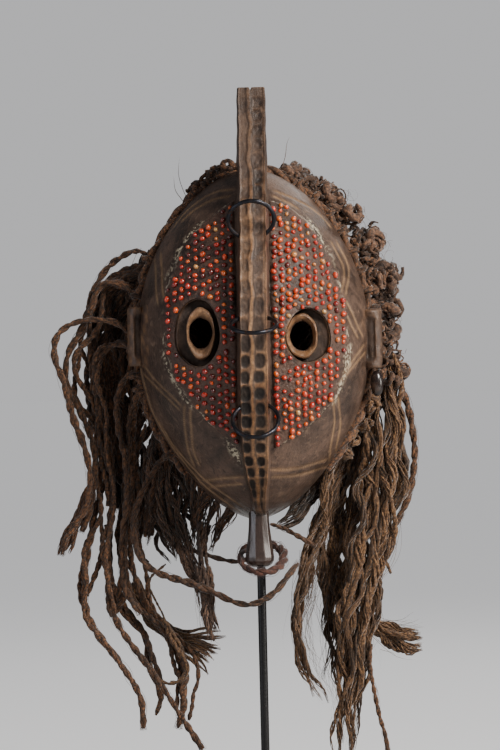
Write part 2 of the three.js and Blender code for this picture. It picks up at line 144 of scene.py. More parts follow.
floor_mesh = bpy.data.meshes.new("floor")
floor_drop = -0.0002
floor_corners = [
    (x * floor_reach, y * floor_reach, floor_drop) for x, y in ((-1, -1), (1, -1), (1, 1), (-1, 1))
]
floor_mesh.from_pydata(floor_corners, [], [(0, 1, 2, 3)])
floor = bpy.data.objects.new("floor", floor_mesh)
scene.collection.objects.link(floor)
floor_paper, floor_tree, floor_shader = new_material(
    "floor_paper", Base_Color=(floor_grey, floor_grey, floor_grey, 1), Roughness=0.9, Specular_IOR_Level=0.1
)
floor_shader.inputs["Emission Color"].default_value = room_colour
seen = add_node(floor_tree, "ShaderNodeLightPath")
glow = add_node(
    floor_tree, "ShaderNodeMapRange",
    {"Value": seen.outputs["Is Camera Ray"], "To Min": 0.0, "To Max": room_seen - floor_grey * room_lighting},
)
floor_tree.links.new(glow.outputs["Result"], floor_shader.inputs["Emission Strength"])
floor_mesh.materials.append(floor_paper)


# Cords: the long twisted cords of the fringe, each of two plies of dark plant fibre laid round each
# other, tied to the rope behind the rim and hanging free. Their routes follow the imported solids. All
# routes and stations are in millimetres, radii and steps in metres.
mm = 0.001
cord_radius = 0.0028
thin_cord_radius = 0.0019
cord_routes = {
    "cord_left_outer": [
        (-103, 3, 401), (-114, 6, 409), (-128, 8, 412), (-143, 10, 411), (-154, 12, 407), (-162, 13, 400),
        (-165, 14, 390), (-164, 14, 378), (-159, 14, 365), (-155, 13, 349), (-150, 12, 330),
        (-144, 11, 314), (-140, 10, 300), (-138, 10, 285), (-139, 10, 270), (-143, 11, 257),
        (-151, 12, 245), (-159, 13, 233), (-163, 14, 221),
    ],
    "cord_left_long": [
        (-93, 7, 467), (-100, 14, 467), (-109, 22, 463), (-118, 28, 457), (-125, 30, 449), (-131, 31, 439),
        (-135, 31, 427), (-137, 31, 407), (-136, 31, 385), (-134, 30, 363), (-131, 29, 339),
        (-129, 28, 315), (-129, 27, 291), (-132, 26, 267), (-137, 25, 243), (-142, 24, 221),
        (-145, 23, 199), (-145, 22, 181), (-141, 21, 165), (-131, 20, 149), (-120, 19, 135),
        (-111, 18, 121), (-104, 17, 109), (-100, 16, 97), (-99, 16, 77),
    ],
    "cord_left_arch": [
        (-101, 6, 434), (-108, 9, 440), (-117, 12, 442), (-125, 15, 440), (-130, 17, 433), (-134, 18, 422),
        (-141, 19, 407), (-147, 20, 397), (-153, 20, 387), (-156, 20, 376), (-156, 20, 363),
        (-152, 20, 349), (-145, 19, 336), (-139, 18, 323), (-135, 18, 308), (-134, 18, 293),
        (-135, 18, 278), (-138, 18, 264), (-141, 18, 251), (-146, 18, 239),
    ],
    "cord_left_fall": [
        (-102, 8, 389), (-110, 13, 392), (-118, 17, 391), (-125, 19, 386), (-130, 20, 376), (-132, 21, 363),
        (-131, 21, 347), (-127, 21, 327), (-122, 21, 307), (-120, 21, 287), (-121, 21, 267),
        (-123, 21, 247), (-125, 20, 227), (-125, 19, 203), (-124, 17, 182), (-118, 15, 163),
        (-108, 13, 147), (-97, 12, 132), (-88, 11, 119), (-79, 10, 105), (-70, 9, 90), (-60, 8, 74),
        (-51, 8, 60),
    ],
    "cord_left_braid": [
        (-100, 7, 369), (-106, 11, 365), (-112, 13, 356), (-115, 14, 342), (-114, 14, 322), (-110, 13, 302),
        (-108, 12, 282), (-108, 11, 266), (-110, 11, 250), (-113, 11, 230), (-113, 11, 212),
        (-112, 10, 195), (-107, 9, 183), (-99, 8, 172),
    ],
    "cord_left_tail": [
        (-97, 8.5, 358), (-100, 15, 342), (-103, 21, 321), (-103, 24, 300), (-104, 24, 280),
        (-106, 24, 256), (-107, 24, 234), (-106, 24, 213), (-102, 24, 196), (-96, 23, 180), (-88, 22, 167),
        (-78, 21, 154), (-71, 20, 142), (-66, 19, 131), (-64, 18, 118), (-66, 18, 107), (-66, 18, 94),
        (-71, 18, 77),
    ],
    "cord_swag": [
        (-74, 7, 303), (-84, 7, 290), (-94, 5, 274), (-101, 3, 256), (-103, 0, 240), (-101, -3, 226),
        (-96, -5, 215), (-87, -7, 207), (-76, -8, 202), (-63, -9, 198), (-49, -10, 193), (-36, -11, 187),
        (-24, -12, 181), (-11, -12, 178), (2, -12, 182), (13, -10, 190), (22, -6, 201), (30, 0, 210),
    ],
    "cord_right_outer": [
        (112, 27, 366), (119, 26, 349), (124, 26, 332), (127, 26, 314), (128, 26, 296), (126, 26, 278),
        (122, 26, 262), (117, 26, 250), (110, 26, 238), (102, 28, 228),
    ],
}
thin_cord_routes = {
    "cord_right_thin": [
        (88.5, 12, 142), (87, 8, 130), (88, 5, 116), (90, 4, 103), (92, 4, 92), (94, 5, 82), (97, 6, 72),
        (99, 7, 62), (100, 8, 52),
    ],
    "cord_chin_strap": [
        (8, -1, 242.5), (16, -1, 240), (24, -1, 236), (34, 0, 230), (44, 3, 224),
    ],
}
cord_step = 0.0012
loose_fibre_spacing = 0.007
frayed_fibres = 30
backwards = np.array((0.0, 1.0, 0.0))


def in_metres(points):
    """Points given in millimetres, as an array in metres."""
    return np.multiply(points, mm)


def full_turn(count):
    """Angles at even steps, once round."""
    return np.linspace(0, 2 * np.pi, count, endpoint=False)


def run_along(lines):
    """How far along its own line each point lies, for one line or for many at once."""
    steps = np.diff(lines, axis=-2, prepend=lines[..., :1, :])
    return np.cumsum(np.linalg.norm(steps, axis=-1), axis=-1)


def smooth_line(points, count):
    """Points at even steps along a smooth line through given ones: a Catmull-Rom spline, where each
    point is a cubic blend of the four nearest given points, read finely and then by its length."""
    points = np.asarray(points, float)
    padded = np.vstack([2 * points[:1] - points[1:2], points, 2 * points[-1:] - points[-2:-1]])
    place = np.linspace(0, len(points) - 1, 24 * len(points))
    left = np.minimum(place.astype(int), len(points) - 2)
    step = (place - left)[:, None]
    before, first, second, after = (padded[left + shift] for shift in range(4))
    fine = first + 0.5 * step * (
        second - before
        + step * (2 * before - 5 * first + 4 * second - after)
        + step**2 * (3 * first - before - 3 * second + after)
    )
    run = run_along(fine[:, :3])
    wanted = np.linspace(0, run[-1], count)
    return np.stack([np.interp(wanted, run, fine[:, axis]) for axis in range(fine.shape[1])], axis=1)


def line_length(line):
    """A line's length, from end to end along it."""
    return float(np.linalg.norm(np.diff(line, axis=0), axis=1).sum())


def read_lines(field, place):
    """A field of points given at even steps, read at places from 0 to 1 for many lines at once."""
    even = np.linspace(0, 1, len(field))
    return np.stack([np.interp(place, even, field[:, axis]) for axis in range(field.shape[1])], axis=-1)


def directions(lines, reference=backwards):
    """Unit directions along, across and out of each line; across is square to the reference."""
    along = np.gradient(lines, axis=-2)
    along /= np.linalg.norm(along, axis=-1, keepdims=True)
    across = np.cross(reference, along)
    across /= np.linalg.norm(across, axis=-1, keepdims=True) + 1e-12
    return along, across, np.cross(along, across)


def ring_faces(steps, sides, closed=False):
    """Faces between rings of points that follow each other: the quads, with those from the last ring
    back to the first if closed, and the triangles that fan out from two more points over both ends."""
    here = np.arange(sides)
    beside = (here + 1) % sides
    row = np.arange(steps if closed else steps - 1)[:, None] * sides
    after = (row + sides) % (steps * sides)
    quads = np.stack([row + here, row + beside, after + beside, after + here], axis=-1).reshape(-1, 4)
    last = (steps - 1) * sides
    first_cap = np.stack([np.full(sides, steps * sides), beside, here], axis=1)
    last_cap = np.stack([np.full(sides, steps * sides + 1), last + here, last + beside], axis=1)
    return quads, np.concatenate([first_cap, last_cap])


def tubes(lines, radii, sides, reference=backwards):
    """Closed tubes round many lines at once, from arrays of lines (tube, step, xyz) and radii (tube,
    step) or (tube, step, side). A ring's point is the line's point plus its radius times the across
    direction's cosine and the out direction's sine. Each end closes in a point on its line."""
    _, across, out = directions(lines, reference)
    count, steps, _ = lines.shape
    turn = full_turn(sides)
    spoke = across[:, :, None] * np.cos(turn)[:, None] + out[:, :, None] * np.sin(turn)[:, None]
    radii = radii if np.ndim(radii) == 3 else np.asarray(radii)[..., None]
    radii = np.broadcast_to(radii, (count, steps, sides))
    walls = lines[:, :, None] + radii[..., None] * spoke
    points = np.concatenate([walls.reshape(count, -1, 3), lines[:, :1], lines[:, -1:]], axis=1)
    quads, triangles = ring_faces(steps, sides)
    base = np.arange(count)[:, None, None] * (steps * sides + 2)
    return points.reshape(-1, 3), (quads + base).reshape(-1, 4), (triangles + base).reshape(-1, 3)


def spread(values, count, steps, sides):
    """Values per tube, or per tube and step, repeated for every point that tubes() makes."""
    values = np.broadcast_to(np.asarray(values, float).reshape(count, -1), (count, steps))
    walls = np.repeat(values, sides, axis=1)
    return np.concatenate([walls, values[:, :1], values[:, -1:]], axis=1).ravel()


def strands(lines, radii, sides, tone, reference=backwards):
    """Tubes as one form: points and faces, a tone for each strand, and how far along each point is."""
    count, steps, _ = lines.shape
    points, quads, triangles = tubes(lines, radii, sides, reference)
    return {
        "points": points,
        "quads": quads,
        "triangles": triangles,
        "tone": spread(tone, count, steps, sides),
        "along": spread(run_along(lines), count, steps, sides),
    }


def build(name, forms, material, values=("tone", "along")):
    """One smooth mesh object from several forms, with their named values kept on its points."""
    shift = np.cumsum([0] + [len(form["points"]) for form in forms])
    points = np.concatenate([form["points"] for form in forms])
    quads = np.concatenate([form["quads"] + start for form, start in zip(forms, shift)])
    triangles = np.concatenate([form["triangles"] + start for form, start in zip(forms, shift)])
    mesh = bpy.data.meshes.new(name)
    mesh.vertices.add(len(points))
    mesh.vertices.foreach_set("co", points.ravel())
    corners = np.concatenate([quads.ravel(), triangles.ravel()])
    mesh.loops.add(len(corners))
    mesh.loops.foreach_set("vertex_index", corners.astype(np.int32))
    mesh.polygons.add(len(quads) + len(triangles))
    starts = np.concatenate([4 * np.arange(len(quads)), quads.size + 3 * np.arange(len(triangles))])
    mesh.polygons.foreach_set("loop_start", starts.astype(np.int32))
    mesh.update(calc_edges=True)
    mesh.validate()
    for value in values:
        kept = np.concatenate([form[value] for form in forms]).astype(np.float32)
        mesh.attributes.new(value, "FLOAT", "POINT").data.foreach_set("value", kept)
    mesh.shade_smooth()
    mesh.materials.append(material)
    piece = bpy.data.objects.new(name, mesh)
    scene.collection.objects.link(piece)
    return piece


def stand_for(piece, slot, *nodes):
    """The piece rides on the whole object and takes the place of its solids; the slot it is given, which
    names its finish, is not used.
    """
    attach(piece, "root")
    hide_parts(*nodes)


# Fibre: one shader group for everything spun or hanging. Each strand has a tone of its own, patches
# along it that are lighter or darker, and fine streaks that catch the light.
def combined(tree, operation, first, second):
    """Two values put together by one step of arithmetic."""
    return add_node(tree, "ShaderNodeMath", {0: first, 1: second}, operation=operation).outputs["Value"]


def scaled(tree, value, low, high, first=0.0, last=1.0):
    """A value's place between two limits, held to them, spread over a new range."""
    node = add_node(
        tree, "ShaderNodeMapRange",
        {"Value": value, "From Min": low, "From Max": high, "To Min": first, "To Max": last},
    )
    return node.outputs["Result"]


def times(tree, first, second):
    """The product of two values."""
    return combined(tree, "MULTIPLY", first, second)


def blend(tree, share, first, second):
    """The colour between two, by a share; each may be a value or another node's output."""
    return add_node(tree, "ShaderNodeMix", {0: share, 6: first, 7: second}, data_type="RGBA").outputs[2]


def point_value(tree, name):
    """A named value that the mesh keeps on its points."""
    return add_node(tree, "ShaderNodeAttribute", attribute_name=name).outputs["Fac"]


def noise(tree, place, scale, detail, **more):
    """A noise of the given scale and detail, read at a place."""
    sockets = {"Vector": place, "Scale": scale, "Detail": detail, **more}
    return add_node(tree, "ShaderNodeTexNoise", sockets).outputs["Fac"]


def roughen(tree, shader, height, strength, distance):
    """Small relief on a material's surface, as a bump from a height."""
    bump = add_node(tree, "ShaderNodeBump", {"Height": height, "Strength": strength, "Distance": distance})
    tree.links.new(bump.outputs["Normal"], shader.inputs["Normal"])


def make_group(name, taken, given):
    """An empty shader group with sockets to take values and to give them, each name with its kind."""
    tree = bpy.data.node_groups.new(name, "ShaderNodeTree")
    for way, sockets in (("INPUT", taken), ("OUTPUT", given)):
        for socket, kind in sockets.items():
            tree.interface.new_socket(name=socket, in_out=way, socket_type="NodeSocket" + kind)
    return tree


def make_fibre_group():
    """The strand's tone, a slow noise through the object and a patchy noise along the strand add up to
    the share from dark to middle. Pale shows on top of it where a fine noise stands high, and that
    noise is the height too."""
    tree = make_group(
        "fibre_streaks",
        {"Dark": "Color", "Middle": "Color", "Pale": "Color", "Streaks": "Float"},
        {"Color": "Color", "Height": "Float"},
    )
    taken = add_node(tree, "NodeGroupInput").outputs
    place = add_node(tree, "ShaderNodeTexCoord").outputs["Object"]
    tone = point_value(tree, "tone")
    seed = times(tree, tone, 37.0)
    drawn = times(tree, point_value(tree, "along"), 0.11)
    moved = add_node(tree, "ShaderNodeVectorMath", {0: place, "Scale": taken["Streaks"]}, operation="SCALE")
    fine = add_node(
        tree, "ShaderNodeTexNoise",
        {"Vector": moved.outputs["Vector"], "W": seed, "Scale": 1.0, "Detail": 3.0},
        noise_dimensions="4D",
    ).outputs["Fac"]
    on_strand = add_node(tree, "ShaderNodeCombineXYZ", {"X": drawn, "Y": seed}).outputs["Vector"]
    level = combined(tree, "ADD", tone, noise(tree, place, 24.0, 2.0))
    level = combined(tree, "ADD", level, noise(tree, on_strand, 900.0, 2.0))
    share = scaled(tree, level, 0.75, 2.05)
    glint = times(tree, scaled(tree, fine, 0.42, 0.72), share)
    final = blend(tree, glint, blend(tree, share, taken["Dark"], taken["Middle"]), taken["Pale"])
    result = add_node(tree, "NodeGroupOutput")
    tree.links.new(final, result.inputs["Color"])
    tree.links.new(fine, result.inputs["Height"])
    return tree


fibre_group = make_fibre_group()


def fibre_material(name, dark, middle, pale, streaks=520.0):
    """Dry fibre in three colours, with this many streaks to the metre."""
    material, tree, shader = new_material(
        name, Roughness=0.72, Specular_IOR_Level=0.35, Sheen_Weight=0.25, Sheen_Roughness=0.45
    )
    group = add_node(
        tree, "ShaderNodeGroup", {"Dark": dark, "Middle": middle, "Pale": pale, "Streaks": streaks},
        node_tree=fibre_group,
    )
    tree.links.new(group.outputs["Color"], shader.inputs["Base Color"])
    roughen(tree, shader, group.outputs["Height"], 0.55, 0.0006)
    return material


dark_cord = fibre_material("dark_cord", colour(16, 10, 6), colour(58, 41, 30), colour(146, 98, 62))


cord_plies = 2
ply_sides = 8


def twisted_cord(line, radius, seed, reference=backwards):
    """Plies laid round each other: each ply's line circles the cord's line once in four and a half
    diameters or so, and its skin is ribbed by fibres that wind along it. Both ends taper."""
    rng = np.random.default_rng(seed)
    _, across, out = directions(line, reference)
    run = run_along(line)
    lay = 9.0 * radius * rng.uniform(0.85, 1.2)
    uneven = np.sin(run / (11 * radius) + rng.uniform(0, 6))
    uneven = uneven + np.sin(run / (4.3 * radius) + rng.uniform(0, 6))
    turn = 2 * np.pi * run / lay + 0.5 * uneven
    starts = full_turn(cord_plies)[:, None] + turn
    from_end = np.minimum(run, run[-1] - run)
    girth = radius * (1 + 0.09 * uneven) * np.clip(0.55 + 0.9 * from_end / (4 * radius), 0, 1)
    circle = across * np.cos(starts)[..., None] + out * np.sin(starts)[..., None]
    ply_lines = line + circle * (0.42 * girth)[:, None]
    wind = full_turn(ply_sides) - (run / (1.6 * radius))[:, None]
    phases = rng.uniform(0, 2 * np.pi, (cord_plies, 1, 1))
    ribs = 1 + 0.10 * np.sin(3 * wind + phases) + 0.06 * np.sin(5 * wind + 2 * phases)
    tone = rng.uniform(0.2, 0.8) + rng.uniform(-0.15, 0.15, cord_plies)
    return strands(ply_lines, (0.63 * girth)[None, :, None] * ribs, ply_sides, tone, reference)


def loose_fibres(line, radius, count, seed, thickness=0.00014, lift=0.72, reference=backwards):
    """Fine fibres that have worked out of a cord: each winds over a short stretch of it, standing off
    by a half sine wave, from its skin and back."""
    rng = np.random.default_rng(seed)
    start = rng.uniform(0, 1, (count, 1))
    span = rng.uniform(0.012, 0.04, (count, 1)) / line_length(line)
    share = np.linspace(0, 1, 12)[None]
    place = np.clip(start + span * share, 0, 1)
    _, across, out = directions(line, reference)
    turn = rng.uniform(0, 2 * np.pi, (count, 1)) + rng.uniform(-2.5, 2.5, (count, 1)) * share
    off = radius * (0.85 + lift * rng.uniform(0.2, 1, (count, 1)) * np.sin(np.pi * share))
    away = read_lines(across, place) * np.cos(turn)[..., None]
    away = away + read_lines(out, place) * np.sin(turn)[..., None]
    lines = read_lines(line, place) + off[..., None] * away
    radii = thickness * (0.4 + 0.6 * np.sin(np.pi * share)) * np.ones((count, 1))
    return strands(lines, radii, 3, rng.uniform(0.4, 1, count), reference)


def frayed_end(line, radius, count, seed):
    """A cord's end come apart: fibres that run on a little from its last 20 mm and splay."""
    rng = np.random.default_rng(seed)
    last = line[-max(6, int(0.02 * len(line) / line_length(line))):]
    _, across, out = directions(last)
    share = np.linspace(0, 1, 10)
    onward = (last[-1] - last[-3]) / np.linalg.norm(last[-1] - last[-3])
    spine = read_lines(last, share) + (0.0015 * share**2)[:, None] * onward
    turn = rng.uniform(0, 2 * np.pi, (count, 1))
    off = radius * (rng.uniform(0.1, 0.8, (count, 1)) + rng.uniform(0.1, 0.7, (count, 1)) * share**2)
    away = across[-1] * np.cos(turn)[..., None] + out[-1] * np.sin(turn)[..., None]
    lines = spine + off[..., None] * away
    radii = 0.00028 * (1.15 - share) * rng.uniform(0.6, 1.3, (count, 1))
    return strands(lines, radii, 4, rng.uniform(0.3, 1, count))


def hang_cord(name, route, radius, seed):
    """One free cord of the fringe, its steps and loose fibres set by its real length."""
    route = in_metres(route)
    length = line_length(smooth_line(route, 400))
    line = smooth_line(route, max(30, round(length / cord_step)))
    forms = [
        twisted_cord(line, radius, seed),
        loose_fibres(line, radius, max(12, round(length / loose_fibre_spacing)), seed + 1),
        frayed_end(line, radius, frayed_fibres, seed + 2),
    ]
    piece = build(name, forms, dark_cord)
    stand_for(piece, "twisted_rope", name)


for number, (name, route) in enumerate(cord_routes.items()):
    hang_cord(name, route, cord_radius, 100 + 10 * number)
for number, (name, route) in enumerate(thin_cord_routes.items()):
    hang_cord(name, route, thin_cord_radius, 300 + 10 * number)


# Hanks: bunches of plant fibre that hang from the rope behind the rim. Those on the left hold many
# thin twisted yarns, those on the right loose ropy locks; all have hairs and ragged ends. One hangs
# from the crown behind the hollow, a dark sheet that stands in for the shade seen through the eye holes.
# Each station is x, y, z and half the bunch's width.
hank_stations = {
    "hank_left": [
        (-78, 8.5, 470, 7), (-92, 28, 440, 14), (-105, 43, 400, 20), (-109, 46, 350, 22),
        (-107, 46, 300, 20), (-106, 45, 258, 16), (-105, 42, 226, 10), (-106, 38, 200, 4),
    ],
    "hank_left_inner": [
        (-70, 12, 344, 8), (-76, 18, 312, 10), (-82, 20, 278, 10), (-88, 20, 250, 8), (-93, 20, 226, 4),
    ],
    "hank_flare": [
        (-106, 38, 198, 3.5), (-98, 33, 178, 4), (-86, 31, 162, 4.5), (-72, 30, 151, 6), (-56, 30, 142, 10),
        (-38, 30, 133, 14),
    ],
    "hank_small": [
        (-48, -2, 212, 5), (-46, -2, 180, 6.5), (-41, -2, 148, 6.5),
    ],
    "hank_behind": [
        (-10, 8, 530, 8), (-6, 13, 512, 20), (-3, 15, 480, 38), (-4, 15, 440, 52), (-4, 15, 400, 55),
        (-8, 15, 360, 50), (-16, 15, 325, 42), (-26, 14, 295, 32), (-34, 13, 268, 24), (-42, 10, 242, 14),
        (-48, 6, 219, 7),
    ],
    "hank_right_main": [
        (102, 13, 380, 11), (103, 17, 345, 16), (103, 17, 310, 17), (99, 17, 270, 17), (90, 16, 230, 16),
        (82, 15, 190, 14), (76, 14, 150, 12), (71, 13, 110, 9), (66, 12, 76, 7), (62, 12, 44, 5),
    ],
    "hank_right_inner": [
        (73, 12.5, 330, 8), (64, 16, 293, 9), (54, 16, 254, 9), (45, 16, 223, 9), (37, 15, 191, 8),
        (31, 14, 163, 7), (35, 13, 133, 6.5), (43, 12, 111, 6), (50, 12, 93, 4),
    ],
    "hank_right_back": [
        (88, 26, 372, 8), (84, 37, 345, 13), (82, 40, 320, 16), (72, 40, 260, 17), (62, 40, 205, 15),
        (62, 40, 165, 12), (66, 38, 125, 11), (68, 36, 90, 8), (66, 34, 62, 5),
    ],
    "hank_right_side": [
        (79, 28, 167, 6), (95, 30, 153, 9), (113, 31, 146, 11), (132, 31, 144, 8),
    ],
}


lock_sides = 4
lock_flatness = 0.6


def bunch(stations, count, flatness, steps, seed, wander, fill, starts, ends, crimp, splay=0.0):
    """Lines that run down a bunch. Each keeps its own place in the bunch's round, wanders from it as a
    slow sum of sines, starts and ends at shares of its own, may splay towards its end, and is crimped
    into waves of a given length and height that share their phase with the neighbours."""
    rng = np.random.default_rng(seed)
    axis = smooth_line(stations, 160)
    _, across, out = directions(axis[:, :3])
    begin = rng.uniform(0, starts, (count, 1))
    finish = 1 - ends * rng.uniform(0, 1, (count, 1)) ** 1.6
    place = begin + (finish - begin) * np.linspace(0, 1, steps)[None]
    width = read_lines(axis[:, 3:], place)[..., 0]
    angle = rng.uniform(0, 2 * np.pi, (count, 1))
    ring = fill * np.sqrt(rng.uniform(0, 1, (count, 1)))
    side = ring * np.cos(angle)
    depth = ring * np.sin(angle)
    run = place * line_length(axis[:, :3])
    for part in range(3):
        wave = 2 * np.pi * run / rng.uniform(0.05, 0.13, (count, 1)) / (part + 1)
        side = side + wander / (part + 1) * np.sin(wave + rng.uniform(0, 6.28, (count, 1)))
        depth = depth + wander / (part + 1) * np.sin(wave + rng.uniform(0, 6.28, (count, 1)))
    side = side * width
    depth = depth * width * flatness
    splayed = 1 + splay * np.linspace(0, 1, steps)[None] ** 4
    side = side * splayed
    depth = depth * splayed
    wave_length, wave_height = crimp
    phase = 2.4 * np.cos(angle) + 1.5 * np.sin(angle) + rng.uniform(-0.9, 0.9, (count, 1))
    slow_turn = np.sin(2 * np.pi * run / (3.1 * wave_length) + phase)
    turning = 2 * np.pi * run / wave_length + phase + 0.8 * slow_turn
    side = side + wave_height * np.sin(turning)
    depth = depth + 0.6 * wave_height * np.cos(turning)
    centre = read_lines(axis[:, :3], place) + read_lines(across, place) * side[..., None]
    return centre + read_lines(out, place) * depth[..., None]


def wound(lines, count, reach, lay, seed):
    """Strands that wind loosely together round each of some lines, as in a lock of fibre: every strand
    circles its line once in a lay, at its own share of a reach that swells, pinches and narrows
    towards the end."""
    rng = np.random.default_rng(seed)
    lock_count, steps, _ = lines.shape
    _, across, out = directions(lines)
    run = run_along(lines)[:, None]
    share = np.linspace(0, 1, steps)[None, None]
    each = (lock_count, 1, 1)
    size = (lock_count, count, 1)
    way = rng.choice((-1.0, 1.0), each) / (lay * rng.uniform(0.75, 1.5, each))
    turn = rng.uniform(0, 2 * np.pi, size) + 2 * np.pi * run * way
    pinch = 2 * np.pi * run / rng.uniform(0.03, 0.06, each) + 6 * rng.uniform(0, 1, each)
    girth = reach * rng.uniform(0.7, 1.25, each) * (0.8 + 0.3 * np.sin(pinch))
    girth = girth * np.clip(1.12 - 0.8 * share**4, 0.2, 1)
    off = np.sqrt(rng.uniform(0.02, 1, size)) * girth
    stray = 0.22 * reach * np.sin(2 * np.pi * run / rng.uniform(0.02, 0.05, size) + rng.uniform(0, 6, size))
    side = off * np.cos(turn) + stray
    depth = off * np.sin(turn) + 0.7 * stray
    wound_lines = lines[:, None] + across[:, None] * side[..., None] + out[:, None] * depth[..., None]
    return wound_lines.reshape(-1, steps, 3)


def locks(lines, radius, seed, tones):
    """Fibre strands: tubes of an oval section that turns slowly, thin at both ends, on given lines."""
    rng = np.random.default_rng(seed)
    count, steps, _ = lines.shape
    share = np.linspace(0, 1, steps)[None]
    uneven = np.sin(share * rng.uniform(12, 30, (count, 1)) + rng.uniform(0, 6, (count, 1)))
    thick = radius * rng.uniform(0.6, 1.35, (count, 1)) * (1 + 0.25 * uneven)
    thick = thick * np.clip(8 * share + 0.35, 0, 1) * np.clip(4.5 * (1 - share) + 0.04, 0, 1)
    twist = rng.uniform(0, 6.28, (count, 1)) + share * rng.uniform(-9, 9, (count, 1))
    turned = full_turn(lock_sides) - twist[..., None]
    oval = lock_flatness / np.sqrt((lock_flatness * np.cos(turned)) ** 2 + np.sin(turned) ** 2)
    return strands(lines, thick[..., None] * oval, lock_sides, tones)


def curls(line, reach, count, seed, coil_sizes, reach_sizes, clumps=0, steps=34):
    """Short helical curls round a line: each is a helix of about one or two turns whose middle lies
    within reach of the line and whose axis points anywhere. They may gather in clumps of uneven size."""
    rng = np.random.default_rng(seed)
    axis = smooth_line(line, 200)
    place = rng.uniform(0, 1, count)
    room = np.full((count, 1), reach)
    if clumps:
        clump = rng.integers(0, clumps, count)
        middle = (np.arange(clumps) + 0.5 + rng.uniform(-0.25, 0.25, clumps)) / clumps
        place = np.clip(middle[clump] + rng.normal(0, 0.26 / clumps, count), 0, 1)
        room = reach * rng.uniform(0.7, 1.2, clumps)[clump][:, None]
    _, across, out = directions(axis)
    angle = rng.uniform(0, 2 * np.pi, (count, 1))
    spoke = read_lines(across, place) * np.cos(angle) + read_lines(out, place) * np.sin(angle)
    centre = read_lines(axis, place) + spoke * room * np.sqrt(rng.uniform(0, 1, (count, 1)))
    pointing = rng.normal(0, 1, (count, 3))
    pointing /= np.linalg.norm(pointing, axis=1, keepdims=True)
    aside = np.cross(pointing, rng.normal(0, 1, (count, 3)))
    aside /= np.linalg.norm(aside, axis=1, keepdims=True)
    third = np.cross(pointing, aside)
    share = np.linspace(-1, 1, steps)[None, :, None]
    turning = share * rng.uniform(2.6, 6.5, (count, 1, 1)) + rng.uniform(0, 6, (count, 1, 1))
    coil = rng.uniform(*coil_sizes, (count, 1, 1)) * (1 - 0.4 * share**2)
    coil = coil * (1 + 0.3 * np.sin(3 * share + rng.uniform(0, 6, (count, 1, 1))))
    lines = centre[:, None] + pointing[:, None] * share * rng.uniform(*reach_sizes, (count, 1, 1))
    return lines + coil * (aside[:, None] * np.cos(turning) + third[:, None] * np.sin(turning))


def spun(lines, radii, seed, sides=8):
    """Spun yarn on given lines: tubes ribbed by fibres that wind round them, thin at both ends."""
    rng = np.random.default_rng(seed)
    count, steps, _ = lines.shape
    run = run_along(lines)
    share = np.linspace(0, 1, steps)[None]
    thick = rng.uniform(*radii, (count, 1)) * np.sin(np.pi * (0.06 + 0.88 * share)) ** 0.45
    thick = thick * (1 + 0.16 * np.sin(run / 0.0021 + rng.uniform(0, 6, (count, 1))))
    wind = full_turn(sides) + (run / 0.0026)[..., None]
    wind = wind + rng.uniform(0, 6, (count, 1, 1))
    thick = thick[..., None] * (1 + 0.2 * np.sin(2 * wind) + 0.1 * np.sin(5 * wind))
    return strands(lines, thick, sides, rng.uniform(0, 1, count), np.array((0.3, 0.8, 0.52)))


def hairs(lines, seed, thickness=0.00016):
    """Loose hairs: the finest tubes, on given lines."""
    rng = np.random.default_rng(seed)
    count, steps, _ = lines.shape
    share = np.linspace(0, 1, steps)[None]
    radii = thickness * rng.uniform(0.6, 1.3, (count, 1)) * np.clip(1.08 - share**3, 0, 1)
    return strands(lines, radii, 3, rng.uniform(0.3, 1, count))


light_fibre = fibre_material("light_fibre", colour(18, 8, 2), colour(72, 47, 30), colour(168, 126, 84), 600.0)
brown_fibre = fibre_material("brown_fibre", colour(18, 10, 7), colour(62, 45, 36), colour(132, 98, 74), 560.0)

# What each hank is made of: its flatness; count and radius of the twisted yarns; count and reach of
# the locks, strands in each and their radius; hairs; lay of a lock; length and height of the crimp's
# waves; how early strands may end; finish.
hank_makes = {
    "hank_left": (0.5, 16, 0.0028, 11, 0.0032, 7, 0.0012, 48, 0.03, 0.06, 0.0016, 0.36, dark_cord),
    "hank_left_inner": (0.8, 8, 0.0024, 6, 0.0030, 8, 0.0010, 50, 0.03, 0.05, 0.0014, 0.36, dark_cord),
    "hank_flare": (0.45, 1, 0.0016, 18, 0.0022, 9, 0.0009, 50, 0.04, 0.04, 0.0010, 0.10, light_fibre),
    "hank_small": (0.7, 4, 0.0020, 5, 0.0022, 7, 0.0008, 50, 0.03, 0.03, 0.0009, 0.30, brown_fibre),
    "hank_behind": (0.16, 0, 0.0, 26, 0.0064, 5, 0.0026, 14, 0.05, 0.08, 0.0018, 0.36, dark_cord),
    "hank_right_main": (0.6, 2, 0.0022, 18, 0.0036, 8, 0.0012, 48, 0.042, 0.052, 0.0020, 0.36, light_fibre),
    "hank_right_inner": (0.9, 1, 0.0020, 7, 0.0030, 8, 0.0010, 50, 0.04, 0.05, 0.0018, 0.36, light_fibre),
    "hank_right_back": (0.55, 1, 0.0021, 12, 0.0038, 7, 0.0013, 40, 0.045, 0.052, 0.0020, 0.36, light_fibre),
    "hank_right_side": (0.7, 1, 0.0020, 10, 0.0038, 8, 0.0011, 50, 0.03, 0.04, 0.0012, 0.12, light_fibre),
}

